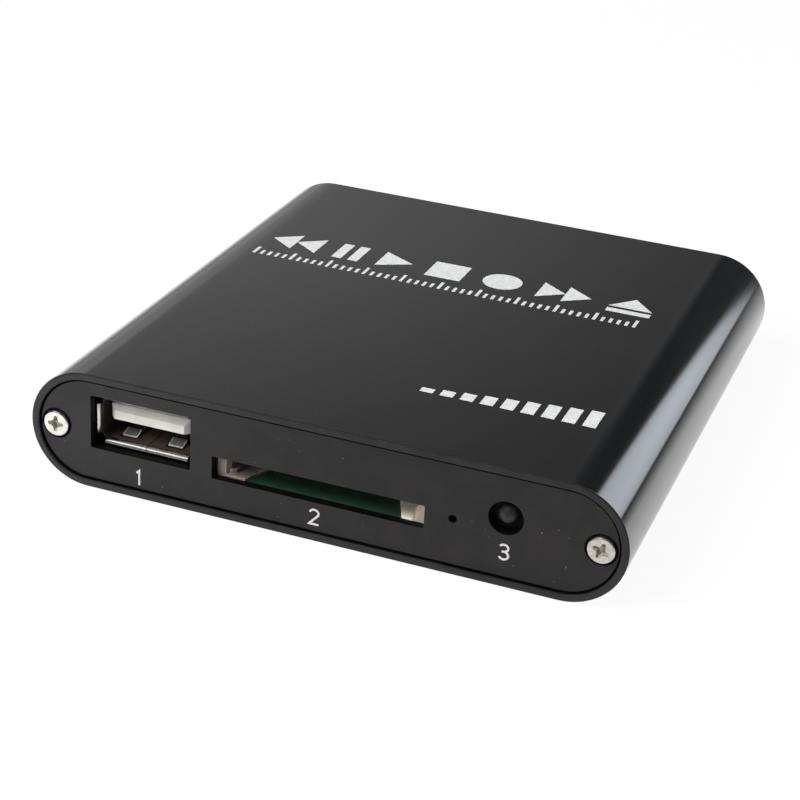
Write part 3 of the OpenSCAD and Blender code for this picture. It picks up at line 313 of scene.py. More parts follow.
finishes = {
    "sleeve": sleeve_finish(),
    "panel": finish(
        "panel", (0.0050, 0.0042, 0.0040), (0.0074, 0.0063, 0.0060), rough=(0.46, 0.58),
        grain=0.09, bump=0.004, dust=0.35, Specular_IOR_Level=0.45),
    "screws": finish(
        "screws", (0.74, 0.71, 0.66), (0.60, 0.57, 0.52), mottle=0.5, rough=(0.18, 0.34),
        grain=0.08, bump=0.003, metallic=1.0),
    "board": finish(
        "board", (0.014, 0.036, 0.023), (0.018, 0.048, 0.030), mottle=1.2, rough=(0.34, 0.46),
        grain=0.15, bump=0.006, patches=[(painted_port_shadow, (0.003, 0.003, 0.003))]),
    "bright_shell": finish(
        "bright_shell", (0.72, 0.71, 0.68), (0.60, 0.59, 0.56), mottle=1.5, rough=(0.16, 0.3),
        grain=0.1, bump=0.002, metallic=1.0, stretch=(1, 0.1, 1)),
    "white_plastic": finish(
        "white_plastic", (0.52, 0.508, 0.475), (0.46, 0.448, 0.415), mottle=2.0,
        rough=(0.42, 0.52), grain=0.1, bump=0.004),
    "contacts": finish(
        "contacts", (0.86, 0.62, 0.26), (0.74, 0.52, 0.2), mottle=0.8, rough=(0.2, 0.3),
        grain=0.08, bump=0.002, metallic=1.0),
    # The cream plastic's near white edges are a painted highlight.
    "cream_plastic": finish(
        "cream_plastic", (0.29, 0.255, 0.205), (0.24, 0.21, 0.165), mottle=1.2,
        rough=(0.4, 0.5), grain=0.1, bump=0.004, edge=(0.62, 0.57, 0.49), edge_width=0.1,
        patches=[(left_ledge_painted_shade, (0.14, 0.12, 0.10)), (right_ledge_painted_light, (0.62, 0.56, 0.46))]),
    "wire": finish(
        "wire", (0.62, 0.62, 0.62), (0.5, 0.5, 0.5), mottle=0.4, rough=(0.22, 0.34),
        grain=0.05, bump=0.001, metallic=1.0),
    "dark_epoxy": finish(
        "dark_epoxy", (0.0016, 0.0016, 0.0017), (0.0024, 0.0024, 0.0026), mottle=1.0,
        rough=(0.5, 0.62), grain=0.1, bump=0.002, Specular_IOR_Level=0.12),
    "leads": finish(
        "leads", (0.72, 0.72, 0.71), (0.56, 0.56, 0.55), mottle=0.5, rough=(0.28, 0.42),
        grain=0.08, bump=0.003, metallic=1.0),
    "clear_lens": finish(
        "clear_lens", (0.85, 0.88, 0.90), (0.80, 0.84, 0.88), mottle=1.0, rough=(0.05, 0.1),
        grain=0.3, bump=0.001, Transmission_Weight=0.9, IOR=1.5),
    "black_plastic": finish(
        "black_plastic", (0.013, 0.013, 0.014), (0.018, 0.018, 0.019), mottle=2.0,
        rough=(0.38, 0.5), grain=0.1, bump=0.005, edge=(0.04, 0.04, 0.04)),
    "chips": finish(
        "chips", (0.022, 0.022, 0.024), (0.03, 0.03, 0.032), mottle=1.5, rough=(0.5, 0.62),
        grain=0.08, bump=0.006),
    "cans": finish(
        "cans", (0.70, 0.70, 0.71), (0.60, 0.60, 0.61), mottle=2.0, rough=(0.24, 0.36),
        grain=0.1, bump=0.002, metallic=1.0),
}
ink = finish(
    "ink", (0.66, 0.665, 0.67), (0.56, 0.565, 0.57), mottle=0.5, rough=(0.45, 0.55), grain=0.1,
    bump=0.004)
# The top's ink, painted darker for the front panel, which the lamps light more: painted shade.
panel_ink_shade = finish(
    "panel_ink_shade", (0.44, 0.43, 0.43), (0.36, 0.35, 0.35), mottle=0.4, rough=(0.5, 0.6),
    grain=0.08, bump=0.004)
rim_finish = finish(
    "sleeve_rim", (0.0086, 0.0078, 0.0078), (0.0115, 0.0107, 0.0107), rough=(0.42, 0.54),
    grain=0.08, bump=0.004, stretch=(0.2, 1, 0.2), Specular_IOR_Level=0.4)
# The sleeve's inside, painted darker than its skin as shade.
inner_painted_shade = finish(
    "sleeve_inside", (0.0020, 0.0018, 0.0018), (0.0030, 0.0028, 0.0028), rough=(0.6, 0.72),
    grain=0.15, bump=0.006, Specular_IOR_Level=0.2)
# Near black: painted shade on the walls of the panels' openings and on the board's cut edges.
cut_painted_shade = finish(
    "panel_cut_painted_shade", (0.0016, 0.0014, 0.0014), (0.0026, 0.0023, 0.0022), rough=(0.55, 0.7),
    grain=0.1, bump=0.006, Specular_IOR_Level=0.25)
# The panels' edges, lighter in mottles: a painted highlight where they catch the light.
panel_edge_highlight = finish(
    "panel_edge_highlight", (0.030, 0.029, 0.028), (0.008, 0.0075, 0.0072), mottle=1.6, rough=(0.3, 0.45),
    grain=0.08, bump=0.004)
shadowed_shell = finish(
    "shadowed_shell", (0.068, 0.050, 0.041), (0.042, 0.032, 0.027), mottle=1.0,
    rough=(0.4, 0.55), grain=0.1, bump=0.003, metallic=0.4, stretch=(1, 0.1, 1))
# The port's finger tips: dull grey with near white edges, a painted highlight.
finger_highlight = finish(
    "finger", (0.13, 0.122, 0.115), (0.09, 0.085, 0.08), mottle=0.6, rough=(0.3, 0.42),
    grain=0.08, bump=0.003, metallic=0.3, edge=(0.95, 0.93, 0.89), edge_width=0.3)
# Darker, duller steel for the screws below the panel's face: painted shade in their holes.
sunk_steel_shade = finish(
    "sunk_steel_shade", (0.040, 0.036, 0.031), (0.022, 0.020, 0.018), mottle=0.5, rough=(0.4, 0.55),
    grain=0.08, bump=0.003, metallic=0.5)
# The cross recess, painted darker than the head as shade.
recess_shade = finish(
    "recess", (0.44, 0.40, 0.34), (0.17, 0.155, 0.13), mottle=0.35, rough=(0.3, 0.45),
    grain=0.08, bump=0.004, metallic=0.4)
# The receiver's dome: the same epoxy as its body, painted lighter as a sheen.
dome_sheen = finish(
    "receiver_dome", (0.0078, 0.008, 0.0084), (0.010, 0.0103, 0.0108), mottle=1.0,
    rough=(0.4, 0.5), grain=0.1, bump=0.001)


# ---- dressed pieces: copies of the solids with joined facets and rounded edges ----

WELD = 1e-7  # in metres: vertices nearer than this are one
FACET_TURN = 0.4  # degrees up to which two facets are one face
SHARP_TURN = 24  # degrees from which an edge is rounded
SMOOTH_TURN = 32  # degrees up to which shading runs on over an edge


def smooth(mesh, angle=SMOOTH_TURN):
    mesh.shade_smooth()
    mesh.set_sharp_from_angle(angle=math.radians(angle))


def mesh_of(bm, name):
    """A mesh of bm, which is spent."""
    mesh = bpy.data.meshes.new(name)
    bm.to_mesh(mesh)
    bm.free()
    return mesh


def closed_mesh(bm, name):
    """A mesh of bm with its faces turned outward."""
    bmesh.ops.recalc_face_normals(bm, faces=bm.faces)
    return mesh_of(bm, name)


def take_place(piece, name, others=(), zone=None):
    """piece stands for a node, rides on its body and takes its finish. zone(centre) picks one of
    the other finishes for a face by its number from 1, or 0 for the node's own."""
    piece.data.materials.clear()
    for material in (finishes[slots[name]], *others):
        piece.data.materials.append(material)
    if zone:
        for face in piece.data.polygons:
            face.material_index = zone(face.center / MM)
    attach(piece, bodies[name])
    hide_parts(name)


def dress(name, edge, keep=None, others=(), zone=None):
    """Stands for a node: its facets joined into faces and its edges rounded by edge millimetres.
    keep(vertex) says which vertices' edges are rounded; others and zone are for take_place."""
    bm = bmesh.new()
    bm.from_mesh(nodes[name].data)
    bmesh.ops.remove_doubles(bm, verts=bm.verts, dist=WELD)
    bmesh.ops.dissolve_limit(bm, angle_limit=math.radians(FACET_TURN), verts=bm.verts,
                             edges=bm.edges)
    if edge:
        limit = math.radians(SHARP_TURN)
        chosen = [e for e in bm.edges
                  if len(e.link_faces) == 2 and e.calc_face_angle() > limit
                  and (keep is None or all(keep(v.co) for v in e.verts))]
        bmesh.ops.bevel(bm, geom=chosen, offset=edge * MM, offset_type="OFFSET", segments=2,
                        profile=0.5, affect="EDGES", clamp_overlap=True, miter_outer="ARC")
    mesh = mesh_of(bm, name + "_dressed")
    smooth(mesh)
    piece = put(name + "_dressed", mesh)
    weighted = piece.modifiers.new("normals", "WEIGHTED_NORMAL")
    weighted.keep_sharp = True
    take_place(piece, name, others, zone)


SLEEVE_WALL = 1.0
WALL_SLACK = 0.05  # how far from the sleeve's inner wall a face still counts as inside
RIM = 0.16  # depth of a rim and its chamfer
RIM_REACH = 0.4  # how far behind the rims edges are rounded
PANEL_EDGE = 0.08  # rounding of a panel's edges
PANEL_SKIN = 0.005  # how far behind the panel's face its painted edge highlight starts
LIP_DEPTH = 0.75  # depth of the data port's curled lip
SIDE_LIP = 0.2  # how much of the curl shines at the port's sides
SIDE_REACH = 0.9  # how far from its sides that is so
LIP_FLARE = 0.4  # how far the lip stands out from the port's walls
PORT_H = 5.7
PORT_WALL = 0.3
FINGER_X = 3.2  # from the middle of the port to a finger
FINGER_HALF = 1.02
FINGER_TIP = (1.8, 3.5)  # depths between which a finger's tip lies
RECEIVER_BODY = 2.7  # depth of the receiver without its dome
TOUCH = 0.02  # how far from a plane a face's middle still counts as on it


def at_rims(co):
    return abs(co.y) / MM > rim_y - RIM_REACH


def sleeve_zone(c):
    """The skin, a rim, or the inside of the sleeve, which is painted darker as shade."""
    if abs(c.y) > rim_y - RIM:
        return 1
    out = math.hypot(max(abs(c.x) - flat_half, 0), c.z - round_r)
    return 2 if out < round_r - SLEEVE_WALL + WALL_SLACK else 0


def panel_zone(c):
    """A panel's face, the walls of its openings painted dark as shade, or its edges between them
    painted lighter as a highlight.
    """
    depth = panel_y - abs(c.y)
    if depth > PANEL_EDGE:
        return 1
    return 2 if depth > PANEL_SKIN else 0


def shell_zone(c):
    """The data port's lip and outside, its shadowed inside, or a finger's tip."""
    depth = c.y - port_low.y
    aside = abs(c.x - (port_low.x + port_high.x) / 2)
    from_side = (port_high.x - port_low.x) / 2 - aside
    from_top = port_high.z - c.z
    from_foot = PORT_H + 2 * LIP_FLARE - from_top
    if min(from_side, from_top, from_foot) < LIP_FLARE + PORT_WALL / 2 and depth > LIP_DEPTH:
        return 0
    if depth < (SIDE_LIP if from_side < SIDE_REACH else LIP_DEPTH):
        return 0
    at_finger = abs(aside - FINGER_X) < FINGER_HALF
    return 2 if at_finger and FINGER_TIP[0] < depth < FINGER_TIP[1] else 1


def receiver_zone(c):
    """The receiver's body, or its dome painted lighter as a sheen."""
    return 1 if c.y < receiver_back - RECEIVER_BODY - TOUCH else 0


def board_zone(c):
    """The board's faces, or its cut edges painted dark as shade."""
    return 0 if min(abs(c.z - board_low.z), abs(c.z - board_high.z)) < TOUCH else 1


# Rounding of the dressed solids' edges; the board's stay sharp.
EDGES = {
    "housing": 0.04, "front_panel": PANEL_EDGE, "rear_panel": PANEL_EDGE,
    "data_port_shell": 0.04, "ir_receiver": 0.08, "main_board": 0.0, "data_port_tongue": 0.08,
    "card_socket_frame": 0.06, "card_socket_cover": 0.04, "video_port_shell": 0.05,
    "video_port_tongue": 0.08, "sound_jack_body": 0.08, "power_jack_body": 0.08,
    "card_slider": 0.04,
}
panel_zones = {"others": (cut_painted_shade, panel_edge_highlight), "zone": panel_zone}
# What dress is told besides, for the solids with more than one finish.
zones = {
    "housing": {"keep": at_rims, "others": (rim_finish, inner_painted_shade), "zone": sleeve_zone},
    "front_panel": panel_zones,
    "rear_panel": panel_zones,
    "data_port_shell": {"others": (shadowed_shell, finger_highlight), "zone": shell_zone},
    "ir_receiver": {"others": (dome_sheen,), "zone": receiver_zone},
    "main_board": {"others": (cut_painted_shade,), "zone": board_zone},
}


def dress_all():
    """Dresses the solids, and gives those that stay as they are their finish."""
    for name, edge in EDGES.items():
        dress(name, edge, **zones.get(name, {}))
    replaced = {*EDGES, "front_screws", "rear_screws", "card_spring"}
    for name, node in nodes.items():
        if name not in replaced:
            node.data.materials.clear()
            node.data.materials.append(finishes[slots[name]])


# ---- screws, with a tapered cross recess ----

SHANK_R = 1.0
SHANK_TIP = 0.2  # chamfer at the shank's end
HEAD_H = 1.0
HEAD_EDGE = 0.24  # radius of the head's edge
HEAD_STEPS = 6  # facets round that edge
HEAD_SHADE = 0.16  # height above the panel up to which a head's side has painted shade
CROWN = 0.06  # how much the middle of a head stands above its edge
ARM_HALF = 0.30  # half the width of the cross's arms, and their length from the middle
ARM_LEN = 1.12
ARM_ROOT = 0.52  # where the arms flare together
RECESS = 0.75  # its depth from the crown's top
CUTTER_TOP = 0.3  # how far the cutter stands above the head
TAPER = (1.12, 0.55)  # the cross's size at the cutter's top and at its foot
RECESS_R = 1.03 * ARM_LEN  # the recess is what lies within this radius, and deeper than
RECESS_START = 0.6  # this share of the crown's height
SCREW_EDGE = 0.025  # rounding of every edge sharper than the next value, in radians
SCREW_SHARP = 0.6
LATHE_STEPS = 64


def lathe(bm, profile):
    """Turns (radius, height) points round z; the first and the last lie on the axis."""
    rings = []
    for r, z in profile:
        if r == 0:
            rings.append([bm.verts.new((0, 0, z))])
        else:
            rings.append([bm.verts.new((r * math.cos(a), r * math.sin(a), z))
                          for a in (2 * math.pi * k / LATHE_STEPS for k in range(LATHE_STEPS))])
    for a, b in zip(rings, rings[1:]):
        for k in range(LATHE_STEPS):
            n = (k + 1) % LATHE_STEPS
            around = [a[k % len(a)], a[n % len(a)], b[n % len(b)], b[k % len(b)]]
            bm.faces.new(list(dict.fromkeys(around)))


def cross(half, length, root):
    """Outline of a cross with arms that flare towards the middle and have round ends."""
    quarter = [(length * 0.93, -half * 0.8), (length, -half * 0.35), (length, half * 0.35),
               (length * 0.93, half * 0.8), (root, half), (root * 0.78, root * 0.78)]
    return [(x * c - y * s, x * s + y * c)
            for c, s in ((1, 0), (0, 1), (-1, 0), (0, -1)) for x, y in quarter]


def cross_cutter():
    """The recess as a solid that narrows downward, from above the head."""
    bm = bmesh.new()
    levels = []
    for z, scale in zip((HEAD_H + CUTTER_TOP, HEAD_H + CROWN - RECESS), TAPER):
        outline = cross(ARM_HALF * scale, ARM_LEN * scale, ARM_ROOT * scale)
        levels.append([bm.verts.new((x, y, z)) for x, y in outline])
    count = len(levels[0])
    for k in range(count):
        n = (k + 1) % count
        bm.faces.new((levels[0][k], levels[0][n], levels[1][n], levels[1][k]))
    bm.faces.new(levels[0])
    bm.faces.new(levels[1])
    return closed_mesh(bm, "cross_cutter")


def screw_mesh(length, head_r):
    """A pan-head screw along z, its seat at 0 and its shank below, in millimetres."""
    foot = HEAD_H - length
    shank = [(0, foot), (SHANK_R - SHANK_TIP, foot), (SHANK_R, foot + SHANK_TIP), (SHANK_R, 0)]
    edge = [(head_r - HEAD_EDGE * (1 - math.sin(a)), HEAD_H - HEAD_EDGE * (1 - math.cos(a)))
            for a in (math.pi / 2 * k / HEAD_STEPS for k in range(HEAD_STEPS, -1, -1))]
    crown = [(edge[-1][0] * q, HEAD_H + CROWN * (1 - q * q)) for q in (0.8, 0.6, 0.3)]
    bm = bmesh.new()
    lathe(bm, shank + [(head_r, 0)] + edge + crown + [(0, HEAD_H + CROWN)])
    body = put("screw", closed_mesh(bm, "screw"))
    tool = put("cross_cutter", cross_cutter())
    cutting = body.modifiers.new("recess", "BOOLEAN")
    cutting.operation = "DIFFERENCE"
    cutting.solver = "EXACT"
    cutting.object = tool
    cut = body.evaluated_get(bpy.context.evaluated_depsgraph_get())
    result = bpy.data.meshes.new_from_object(cut)
    for made in (body, tool):
        bpy.data.objects.remove(made)
    return result


def head_zone(heads):
    """For the faces of a pair of screws round the axes heads (x, z): the crown, the side and shank
    below it with painted shade, or the recess, also painted darker as shade."""
    def zone(c):
        out = min(math.hypot(c.x - x, c.z - z) for x, z in heads)
        if out < RECESS_R and abs(c.y) < rim_y - CROWN * RECESS_START:
            return 2
        return 1 if abs(c.y) < panel_y + HEAD_SHADE else 0
    return zone


def screws(name, facing, turns):
    """Stands for a pair of screws; facing is -1 for the front panel and 1 for the rear one, and
    turns are the degrees by which the crosses at -x and at +x are turned."""
    low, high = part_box(name)
    head_r = (high.z - low.z) / 2
    middle_z = (low.z + high.z) / 2
    top = low.y if facing < 0 else high.y
    axes = (low.x + head_r, high.x - head_r)
    one = screw_mesh((high.y - low.y) / MM - CROWN, head_r / MM)
    bm = bmesh.new()
    for x, turn in zip(axes, turns):
        copy = one.copy()
        place = Matrix.Translation((x, top - facing * (HEAD_H + CROWN) * MM, middle_z))
        stand = Matrix.Rotation(-facing * math.pi / 2, 4, "X")
        turned = Matrix.Rotation(math.radians(turn), 4, "Z")
        copy.transform(place @ stand @ turned @ Matrix.Scale(MM, 4))
        bm.from_mesh(copy)
    edges = [e for e in bm.edges if len(e.link_faces) == 2 and e.calc_face_angle() > SCREW_SHARP]
    bmesh.ops.bevel(bm, geom=edges, offset=SCREW_EDGE * MM, segments=2, profile=0.5,
                    affect="EDGES", clamp_overlap=True)
    mesh = closed_mesh(bm, name + "_dressed")
    smooth(mesh, angle=40)
    heads = [(x / MM, middle_z / MM) for x in axes]
    take_place(put(name + "_dressed", mesh), name, (sunk_steel_shade, recess_shade), head_zone(heads))


# ---- return spring, finer than its solid ----

SPRING_WIRE = 0.22
SPRING_TURNS = 9
SPRING_STEPS = 32  # rings in a turn
SPRING_SIDES = 12


def spring():
    """Stands for the spring, as a finer coil of round wire that rides on its body."""
    low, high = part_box("card_spring")
    wire = SPRING_WIRE * MM
    middle = (low + high) / 2
    coil = (high.x - low.x - wire) / 2
    start = low.y + wire / 2
    length = high.y - low.y - wire
    steps = SPRING_TURNS * SPRING_STEPS
    bm = bmesh.new()
    rings = []
    for i in range(steps + 1):
        turn = 2 * math.pi * i / SPRING_STEPS
        out = Vector((math.cos(turn), 0, math.sin(turn)))
        centre = out * coil + Vector((middle.x, start + length * i / steps, middle.z))
        rings.append([
            bm.verts.new(centre + wire / 2 * (out * math.cos(a) + Vector((0, math.sin(a), 0))))
            for a in (2 * math.pi * k / SPRING_SIDES for k in range(SPRING_SIDES))])
    for a, b in zip(rings, rings[1:]):
        for k in range(SPRING_SIDES):
            n = (k + 1) % SPRING_SIDES
            bm.faces.new((a[k], b[k], b[n], a[n]))
    bm.faces.new(rings[0])
    bm.faces.new(reversed(rings[-1]))
    mesh = closed_mesh(bm, "return_spring")
    smooth(mesh, angle=60)
    piece = put("return_spring", mesh)
    take_place(piece, "card_spring")
    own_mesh(piece)


# ---- prints: flat pale shapes ----

INK = 0.012 * MM  # thickness of the print, in metres
INK_STEP = 0.01  # share of it by which each shape is higher than the last one
MITRE = 0.4  # least cosine taken at a bend, so that a sharp one stays short
DISC_STEPS = 40


class Print:
    """Flat shapes drawn in millimetres and laid on one plane."""

    def __init__(self):
        self.bm = bmesh.new()
        self.height = INK

    def shape(self, points):
        """A flat shape, a hair higher than the last one, so that no two faces share a plane."""
        self.height += INK * INK_STEP
        low = [self.bm.verts.new((x * MM, y * MM, 0)) for x, y in points]
        top = [self.bm.verts.new((x * MM, y * MM, self.height)) for x, y in points]
        self.bm.faces.new(top)
        for i in range(len(points)):
            n = (i + 1) % len(points)
            self.bm.faces.new((low[i], low[n], top[n], top[i]))

    def bar(self, x, y, w, h):
        self.shape([(x, y), (x + w, y), (x + w, y + h), (x, y + h)])

    def triangle(self, x, y, w, h):
        """Pointing right from x; a negative w points it left."""
        points = [(x, y), (x + w, y + h / 2), (x, y + h)]
        self.shape(points if w > 0 else points[::-1])

    def line(self, points, width):
        """A line of even width through points, with mitred bends."""
        sides = ([], [])
        for i, (x, y) in enumerate(points):
            a, b = Vector(points[max(i - 1, 0)]), Vector(points[min(i + 1, len(points) - 1)])
            here = Vector((x, y))
            before = (here - a).normalized() if i else (b - here).normalized()
            after = (b - here).normalized() if i < len(points) - 1 else before
            mitre = (before + after).normalized().orthogonal()
            reach = width / 2 / max(mitre.dot(before.orthogonal()), MITRE)
            sides[0].append(here + mitre * reach)
            sides[1].append(here - mitre * reach)
        for i in range(len(points) - 1):
            self.shape([sides[1][i], sides[1][i + 1], sides[0][i + 1], sides[0][i]])

    def disc(self, x, y, r):
        self.shape([(x + r * math.cos(a), y + r * math.sin(a))
                    for a in (2 * math.pi * k / DISC_STEPS for k in range(DISC_STEPS))])

    def piece(self, name, place, material):
        """Puts the shapes on the player as one piece; its mesh takes the place."""
        made = put(name, closed_mesh(self.bm, name))
        made.data.transform(place)
        made.data.materials.append(material)
        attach(made, "player")


top_plane = Matrix.Translation((0, 0, housing_top.z * MM - INK / 4))
front_plane = (Matrix.Translation((0, INK / 4 - panel_y * MM, 0))
               @ Matrix.Rotation(math.pi / 2, 4, "X"))

SYMBOL_W = 0.78  # w below, which the symbols' widths are shares of, in shares of their height
BAR = 0.22  # a thin bar's width in shares of the same
PAIRED = 0.85  # an arrow's width in a pair and the step to the next, in shares of w


def transport_row(left, right, low, high):
    """Seven transport symbols spread evenly between left and right. Each is its width and how it
    is drawn from its left end."""
    p = Print()
    h = high - low
    w = SYMBOL_W * h
    bar = BAR * h
    symbols = [
        (1.7 * w, lambda x: [p.triangle(x + k * PAIRED * w, low, -PAIRED * w, h)
                             for k in (1, 2)]),
        (0.9 * w, lambda x: [p.bar(x + k * (0.9 * w - bar * 1.2), low, bar * 1.2, h)
                             for k in (0, 1)]),
        (1.1 * w, lambda x: p.triangle(x, low, 1.1 * w, h)),
        (1.2 * w, lambda x: p.bar(x, low, 1.2 * w, h)),
        (h, lambda x: p.disc(x + h / 2, low + h / 2, h / 2)),
        (1.7 * w, lambda x: [p.triangle(x + k * PAIRED * w, low, PAIRED * w, h)
                             for k in (0, 1)]),
        (1.4 * w, lambda x: [p.bar(x, low, 1.4 * w, bar),
                             p.shape([(x, low + bar * 1.6), (x + 1.4 * w, low + bar * 1.6),
                                      (x + 0.7 * w, high)])]),
    ]
    space = (right - left - sum(width for width, draw in symbols)) / (len(symbols) - 1)
    x = left
    for width, draw in symbols:
        draw(x)
        x += width + space
    p.piece("transport_marks", top_plane, ink)


TICKS = 50
TICK_W = 0.46
TICK_LONG = 5  # every so many ticks one is full height
TICK_SHORT = 0.6  # the height of the others as a share of it


def scale_row(left, right, low, high):
    """A ruled scale between left and right."""
    p = Print()
    for i in range(TICKS + 1):
        h = (high - low) * (1.0 if i % TICK_LONG == 0 else TICK_SHORT)
        p.bar(left + (right - left - TICK_W) * i / TICKS, low, TICK_W, h)
    p.piece("scale_marks", top_plane, ink)


BARS = 9
BAR_W = 0.65  # a level bar's width as a share of the pitch
BAR_LOWEST = 0.25  # the first bar's height as a share of the last one's


def level_bars(left, right, low, high):
    """Rising bars of a level meter."""
    pitch = (right - left) / (BARS - 1 + BAR_W)
    p = Print()
    for i in range(BARS):
        rise = BAR_LOWEST + (1 - BAR_LOWEST) * i / (BARS - 1)
        p.bar(left + pitch * i, low, pitch * BAR_W, (high - low) * rise)
    p.piece("level_marks", top_plane, ink)


DIGIT_W = 1.15
DIGIT_H = 2.0
DIGIT_LINE = 0.27
ARC_STEPS = 14


def arc(x, y, rx, ry, start, end):
    """Points on an ellipse between two angles in degrees."""
    angles = [math.radians(start + (end - start) * i / ARC_STEPS) for i in range(ARC_STEPS + 1)]
    return [(x + rx * math.cos(a), y + ry * math.sin(a)) for a in angles]


# Strokes of the digits, in shares of the width across and from -1 to 1 up.
DIGITS = {
    "1": [[(-0.32, 0.66), (0.0, 1.0), (0.0, -1.0)]],
    "2": [arc(0, 0.5, 0.5, 0.5, 170, -35) + [(-0.52, -1.0), (0.55, -1.0)]],
    "3": [arc(0, 0.5, 0.46, 0.48, 155, -90), [(-0.22, 0.02), (0.05, 0.02)],
          arc(0, -0.49, 0.52, 0.51, 90, -155)],
}


def number(text, x, z):
    """A plain number drawn with thin strokes, centred at x and z on the front panel."""
    p = Print()
    for stroke in DIGITS[text]:
        p.line([(x + u * DIGIT_W, z + v * DIGIT_H / 2) for u, v in stroke], DIGIT_LINE)
    p.piece("number_" + text, front_plane, panel_ink_shade)


# ---- floor, light and background ----

def camera_share(tree, paths):
    """1 for what the camera sees, straight or through a clear piece, and 0 for other rays."""
    return maths(tree, "ADD", paths["Is Camera Ray"], paths["Is Transmission Ray"], clamp=True)


FLOOR_HALF = 1.6  # half its width, in metres
FLOOR_DROP = 0.05
FLOOR_TONE = (0.86, 0.86, 0.86)
FLOOR_WHITE = 0.94  # share of pure white in what the camera sees, so that the shadow stays
FLOOR_GLOSS = 0.75  # share of the glow in what gloss shows
FLOOR_GLOW = 0.02  # the glow: this times the distance in metres to the power of minus the next
FLOOR_FALL = 1.4
FLOOR_MOST = 0.77  # the glow's upper limit
FLOOR_PATCH = (-0.07, -0.08, 0.0)  # the middle of the brighter patch, in metres
FLOOR_PATCH_R = (0.075, 0.02)  # its outer and inner radius, in metres
FLOOR_PATCH_GLOW = 1.1


def floor():
    """White to the camera, with the object's shadow. Gloss shows it bright near the object, with a
    brighter patch at the front left."""
    material, tree = new_material("floor")
    paths = add(tree, "LightPath").outputs
    place = add(tree, "TexCoord").outputs["Object"]
    away = add(tree, "VectorMath", {0: place}, operation="LENGTH").outputs["Value"]
    aside = add(tree, "VectorMath", {0: place, 1: FLOOR_PATCH}, operation="DISTANCE")
    near = times(tree, maths(tree, "POWER", away, -FLOOR_FALL), FLOOR_GLOW)
    near = maths(tree, "MINIMUM", near, FLOOR_MOST)
    spot = ramp(tree, aside.outputs["Value"], *FLOOR_PATCH_R, 0.0, FLOOR_PATCH_GLOW)
    glow = maths(tree, "ADD", near, spot)
    plain = add(tree, "BsdfDiffuse", {"Color": colour(FLOOR_TONE)})
    shown = add(tree, "Emission", {"Color": WHITE, "Strength": glow})
    mirrored = add(tree, "MixShader", {0: times(tree, paths["Is Glossy Ray"], FLOOR_GLOSS),
                                       1: plain.outputs[0], 2: shown.outputs[0]})
    white = add(tree, "Emission", {"Color": WHITE, "Strength": 1.0})
    both = add(tree, "MixShader", {0: times(tree, camera_share(tree, paths), FLOOR_WHITE),
                                   1: mirrored.outputs[0], 2: white.outputs[0]})
    add(tree, "OutputMaterial", {"Surface": both.outputs[0]})
    bm = bmesh.new()
    bmesh.ops.create_grid(bm, x_segments=1, y_segments=1, size=FLOOR_HALF)
    mesh = mesh_of(bm, "floor")
    mesh.materials.append(material)
    made = put("floor", mesh)
    made.location.z = -FLOOR_DROP * MM


# The room's light, as strengths. A turn is in degrees to the right of straight behind, and a
# height is the upward part of a direction of length 1.
ROOM_PLAIN = 0.36  # from all round, on what isn't glossy
ROOM_FRONT = 0.14
FRONT_SPAN = (0.2, -0.3)  # rearward part of a direction between which behind turns into front
LEFT_TURNS = (-3, -32)  # the room behind gets brighter from the first turn to the second
LEFT_GLOW = 0.465  # at the second turn
LEFT_HEIGHTS = (0.36, 0.5)  # heights and shares between which that glow fades upward
LEFT_SHARES = (1.06, 0.15)
FOOT_HEIGHTS = (0.24, 0.37)  # and the same for its fading downward
FOOT_SHARES = (0.75, 1.0)
RIGHT_TURNS = (-6, 1)  # a faint glow low behind on the right
RIGHT_HEIGHTS = (0.45, 0.38)
RIGHT_GLOW = 0.03
ABOVE_HEIGHTS = (0.52, 0.8)  # a faint glow above
ABOVE_GLOWS = (0.005, 0.055)


def world():
    """White where the camera looks past the floor. Gloss shows a room that fades from grey behind
    on the left to dark behind on the right, with a faint glow above, and even grey in front."""
    made = bpy.data.worlds.new("room")
    made.use_nodes = True
    tree = made.node_tree
    tree.nodes.clear()
    paths = add(tree, "LightPath").outputs
    way = add(tree, "SeparateXYZ", {0: add(tree, "TexCoord").outputs["Generated"]}).outputs
    turn = maths(tree, "ARCTAN2", way[0], way[1])
    left = times(tree,
                 ramp(tree, turn, *map(math.radians, LEFT_TURNS), 0.0, LEFT_GLOW, "LINEAR"),
                 ramp(tree, way[2], *LEFT_HEIGHTS, *LEFT_SHARES, "LINEAR"),
                 ramp(tree, way[2], *FOOT_HEIGHTS, *FOOT_SHARES))
    right = times(tree, ramp(tree, turn, *map(math.radians, RIGHT_TURNS)),
                  ramp(tree, way[2], *RIGHT_HEIGHTS, 0.0, RIGHT_GLOW))
    above = ramp(tree, way[2], *ABOVE_HEIGHTS, *ABOVE_GLOWS)
    behind = maths(tree, "ADD", maths(tree, "ADD", left, right), above)
    glossy = mix(tree, ramp(tree, way[1], *FRONT_SPAN), behind, ROOM_FRONT)
    room = mix(tree, paths["Is Glossy Ray"], ROOM_PLAIN, glossy)
    dim = add(tree, "Background", {"Color": WHITE, "Strength": room})
    white = add(tree, "Background", {"Color": WHITE, "Strength": 1.0})
    both = add(tree, "MixShader", {0: camera_share(tree, paths), 1: dim.outputs[0],
                                   2: white.outputs[0]})
    add(tree, "OutputWorld", {"Surface": both.outputs[0]})
    scene.world = made


# The side card's glow: places in millimetres between which it rises, and its shares there.
CARD_EDGE_X = (83, 91)
CARD_EDGE_SHARES = (0.1, 1.0)
CARD_ACROSS_X = (84, 105)
CARD_ACROSS_SHARES = (0.86, 1.17)
CARD_FOOT_Z = (10, 60)
CARD_FOOT_SHARES = (0.6, 1.0)


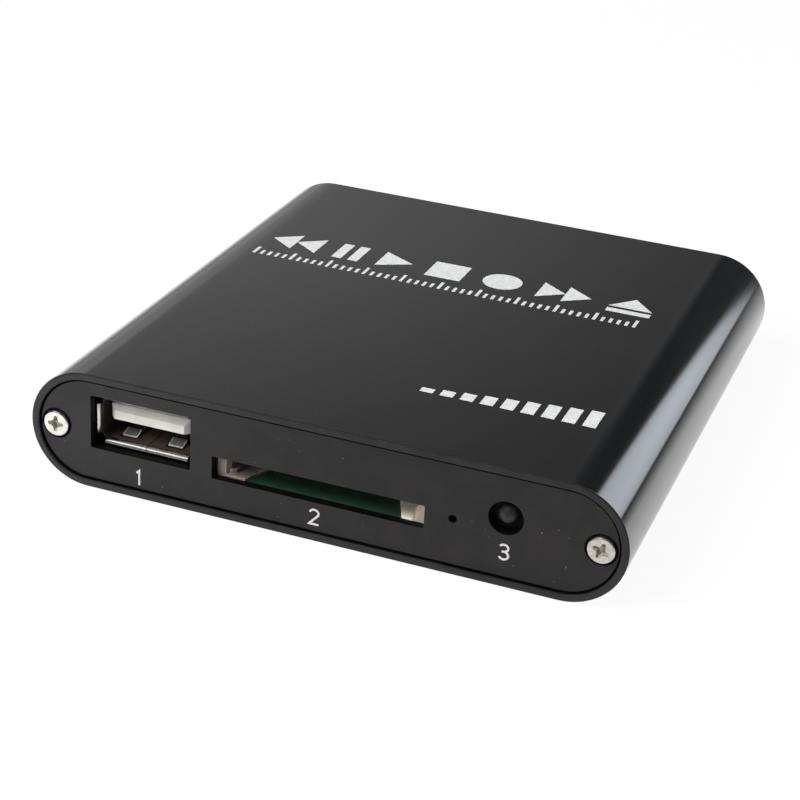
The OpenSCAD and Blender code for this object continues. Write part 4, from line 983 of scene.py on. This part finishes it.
def side_fall(tree):
    """How the side card's glow falls off: softly at its near edge and a little at its foot."""
    place = add(tree, "SeparateXYZ", {0: in_mm(tree)}).outputs
    return times(tree, ramp(tree, place[0], *CARD_EDGE_X, *CARD_EDGE_SHARES),
                 ramp(tree, place[0], *CARD_ACROSS_X, *CARD_ACROSS_SHARES),
                 ramp(tree, place[2], *CARD_FOOT_Z, *CARD_FOOT_SHARES))


def card(name, corners, strength, tint=(1, 1, 1), fall=None):
    """A glowing card, corners in millimetres, that shows only in gloss. fall(tree) gives the share
    of the strength at each place."""
    material, tree = new_material(name)
    if fall:
        strength = times(tree, fall(tree), strength)
    glow = add(tree, "Emission", {"Color": colour(tint), "Strength": strength})
    add(tree, "OutputMaterial", {"Surface": glow.outputs[0]})
    mesh = bpy.data.meshes.new(name)
    mesh.from_pydata([[c * MM for c in corner] for corner in corners], [], [range(len(corners))])
    mesh.materials.append(material)
    made = put(name, mesh)
    made.visible_camera = made.visible_diffuse = made.visible_shadow = False
    made.visible_transmission = False


LAMP_AIM = Vector((0, 0, 0.008))  # in metres, as the lamps are


def lamp(name, at, size, watts):
    """A soft lamp that lights the object's colour and leaves the gloss to the cards."""
    data = bpy.data.lights.new(name, "AREA")
    data.shape = "RECTANGLE"
    data.size, data.size_y = size
    data.energy = watts
    made = put(name, data)
    made.location = at
    made.rotation_euler = (LAMP_AIM - Vector(at)).to_track_quat("-Z", "Y").to_euler()
    made.visible_glossy = False


dress_all()
screws("front_screws", facing=-1, turns=(0, -20))
screws("rear_screws", facing=1, turns=(52, 33))
spring()
transport_row(left=-30.0, right=27.5, low=11.0, high=16.7)
scale_row(left=-30.4, right=26.6, low=7.0, high=9.5)
level_bars(left=7.3, right=30.0, low=-25.5, high=-20.8)
number("1", x=-24.0, z=2.75)
number("2", x=-0.2, z=3.16)
number("3", x=24.0, z=4.56)
floor()
world()
lamp("key", at=(-0.5, -0.7, 0.9), size=(0.6, 0.6), watts=20.0)
lamp("low_front", at=(-0.36, -0.66, 0.20), size=(0.4, 0.25), watts=2.6)
card("side_card", [(82, 150, 14), (260, 150, 31), (260, 150, 420), (82, 150, 420)],
     strength=1.9, tint=(0.87, 0.93, 1.0), fall=side_fall)
card("front_card",
     [(-700, -400, 1050), (-150, -850, 1050), (-330, -1100, 650), (-900, -650, 650)],
     strength=1.6)
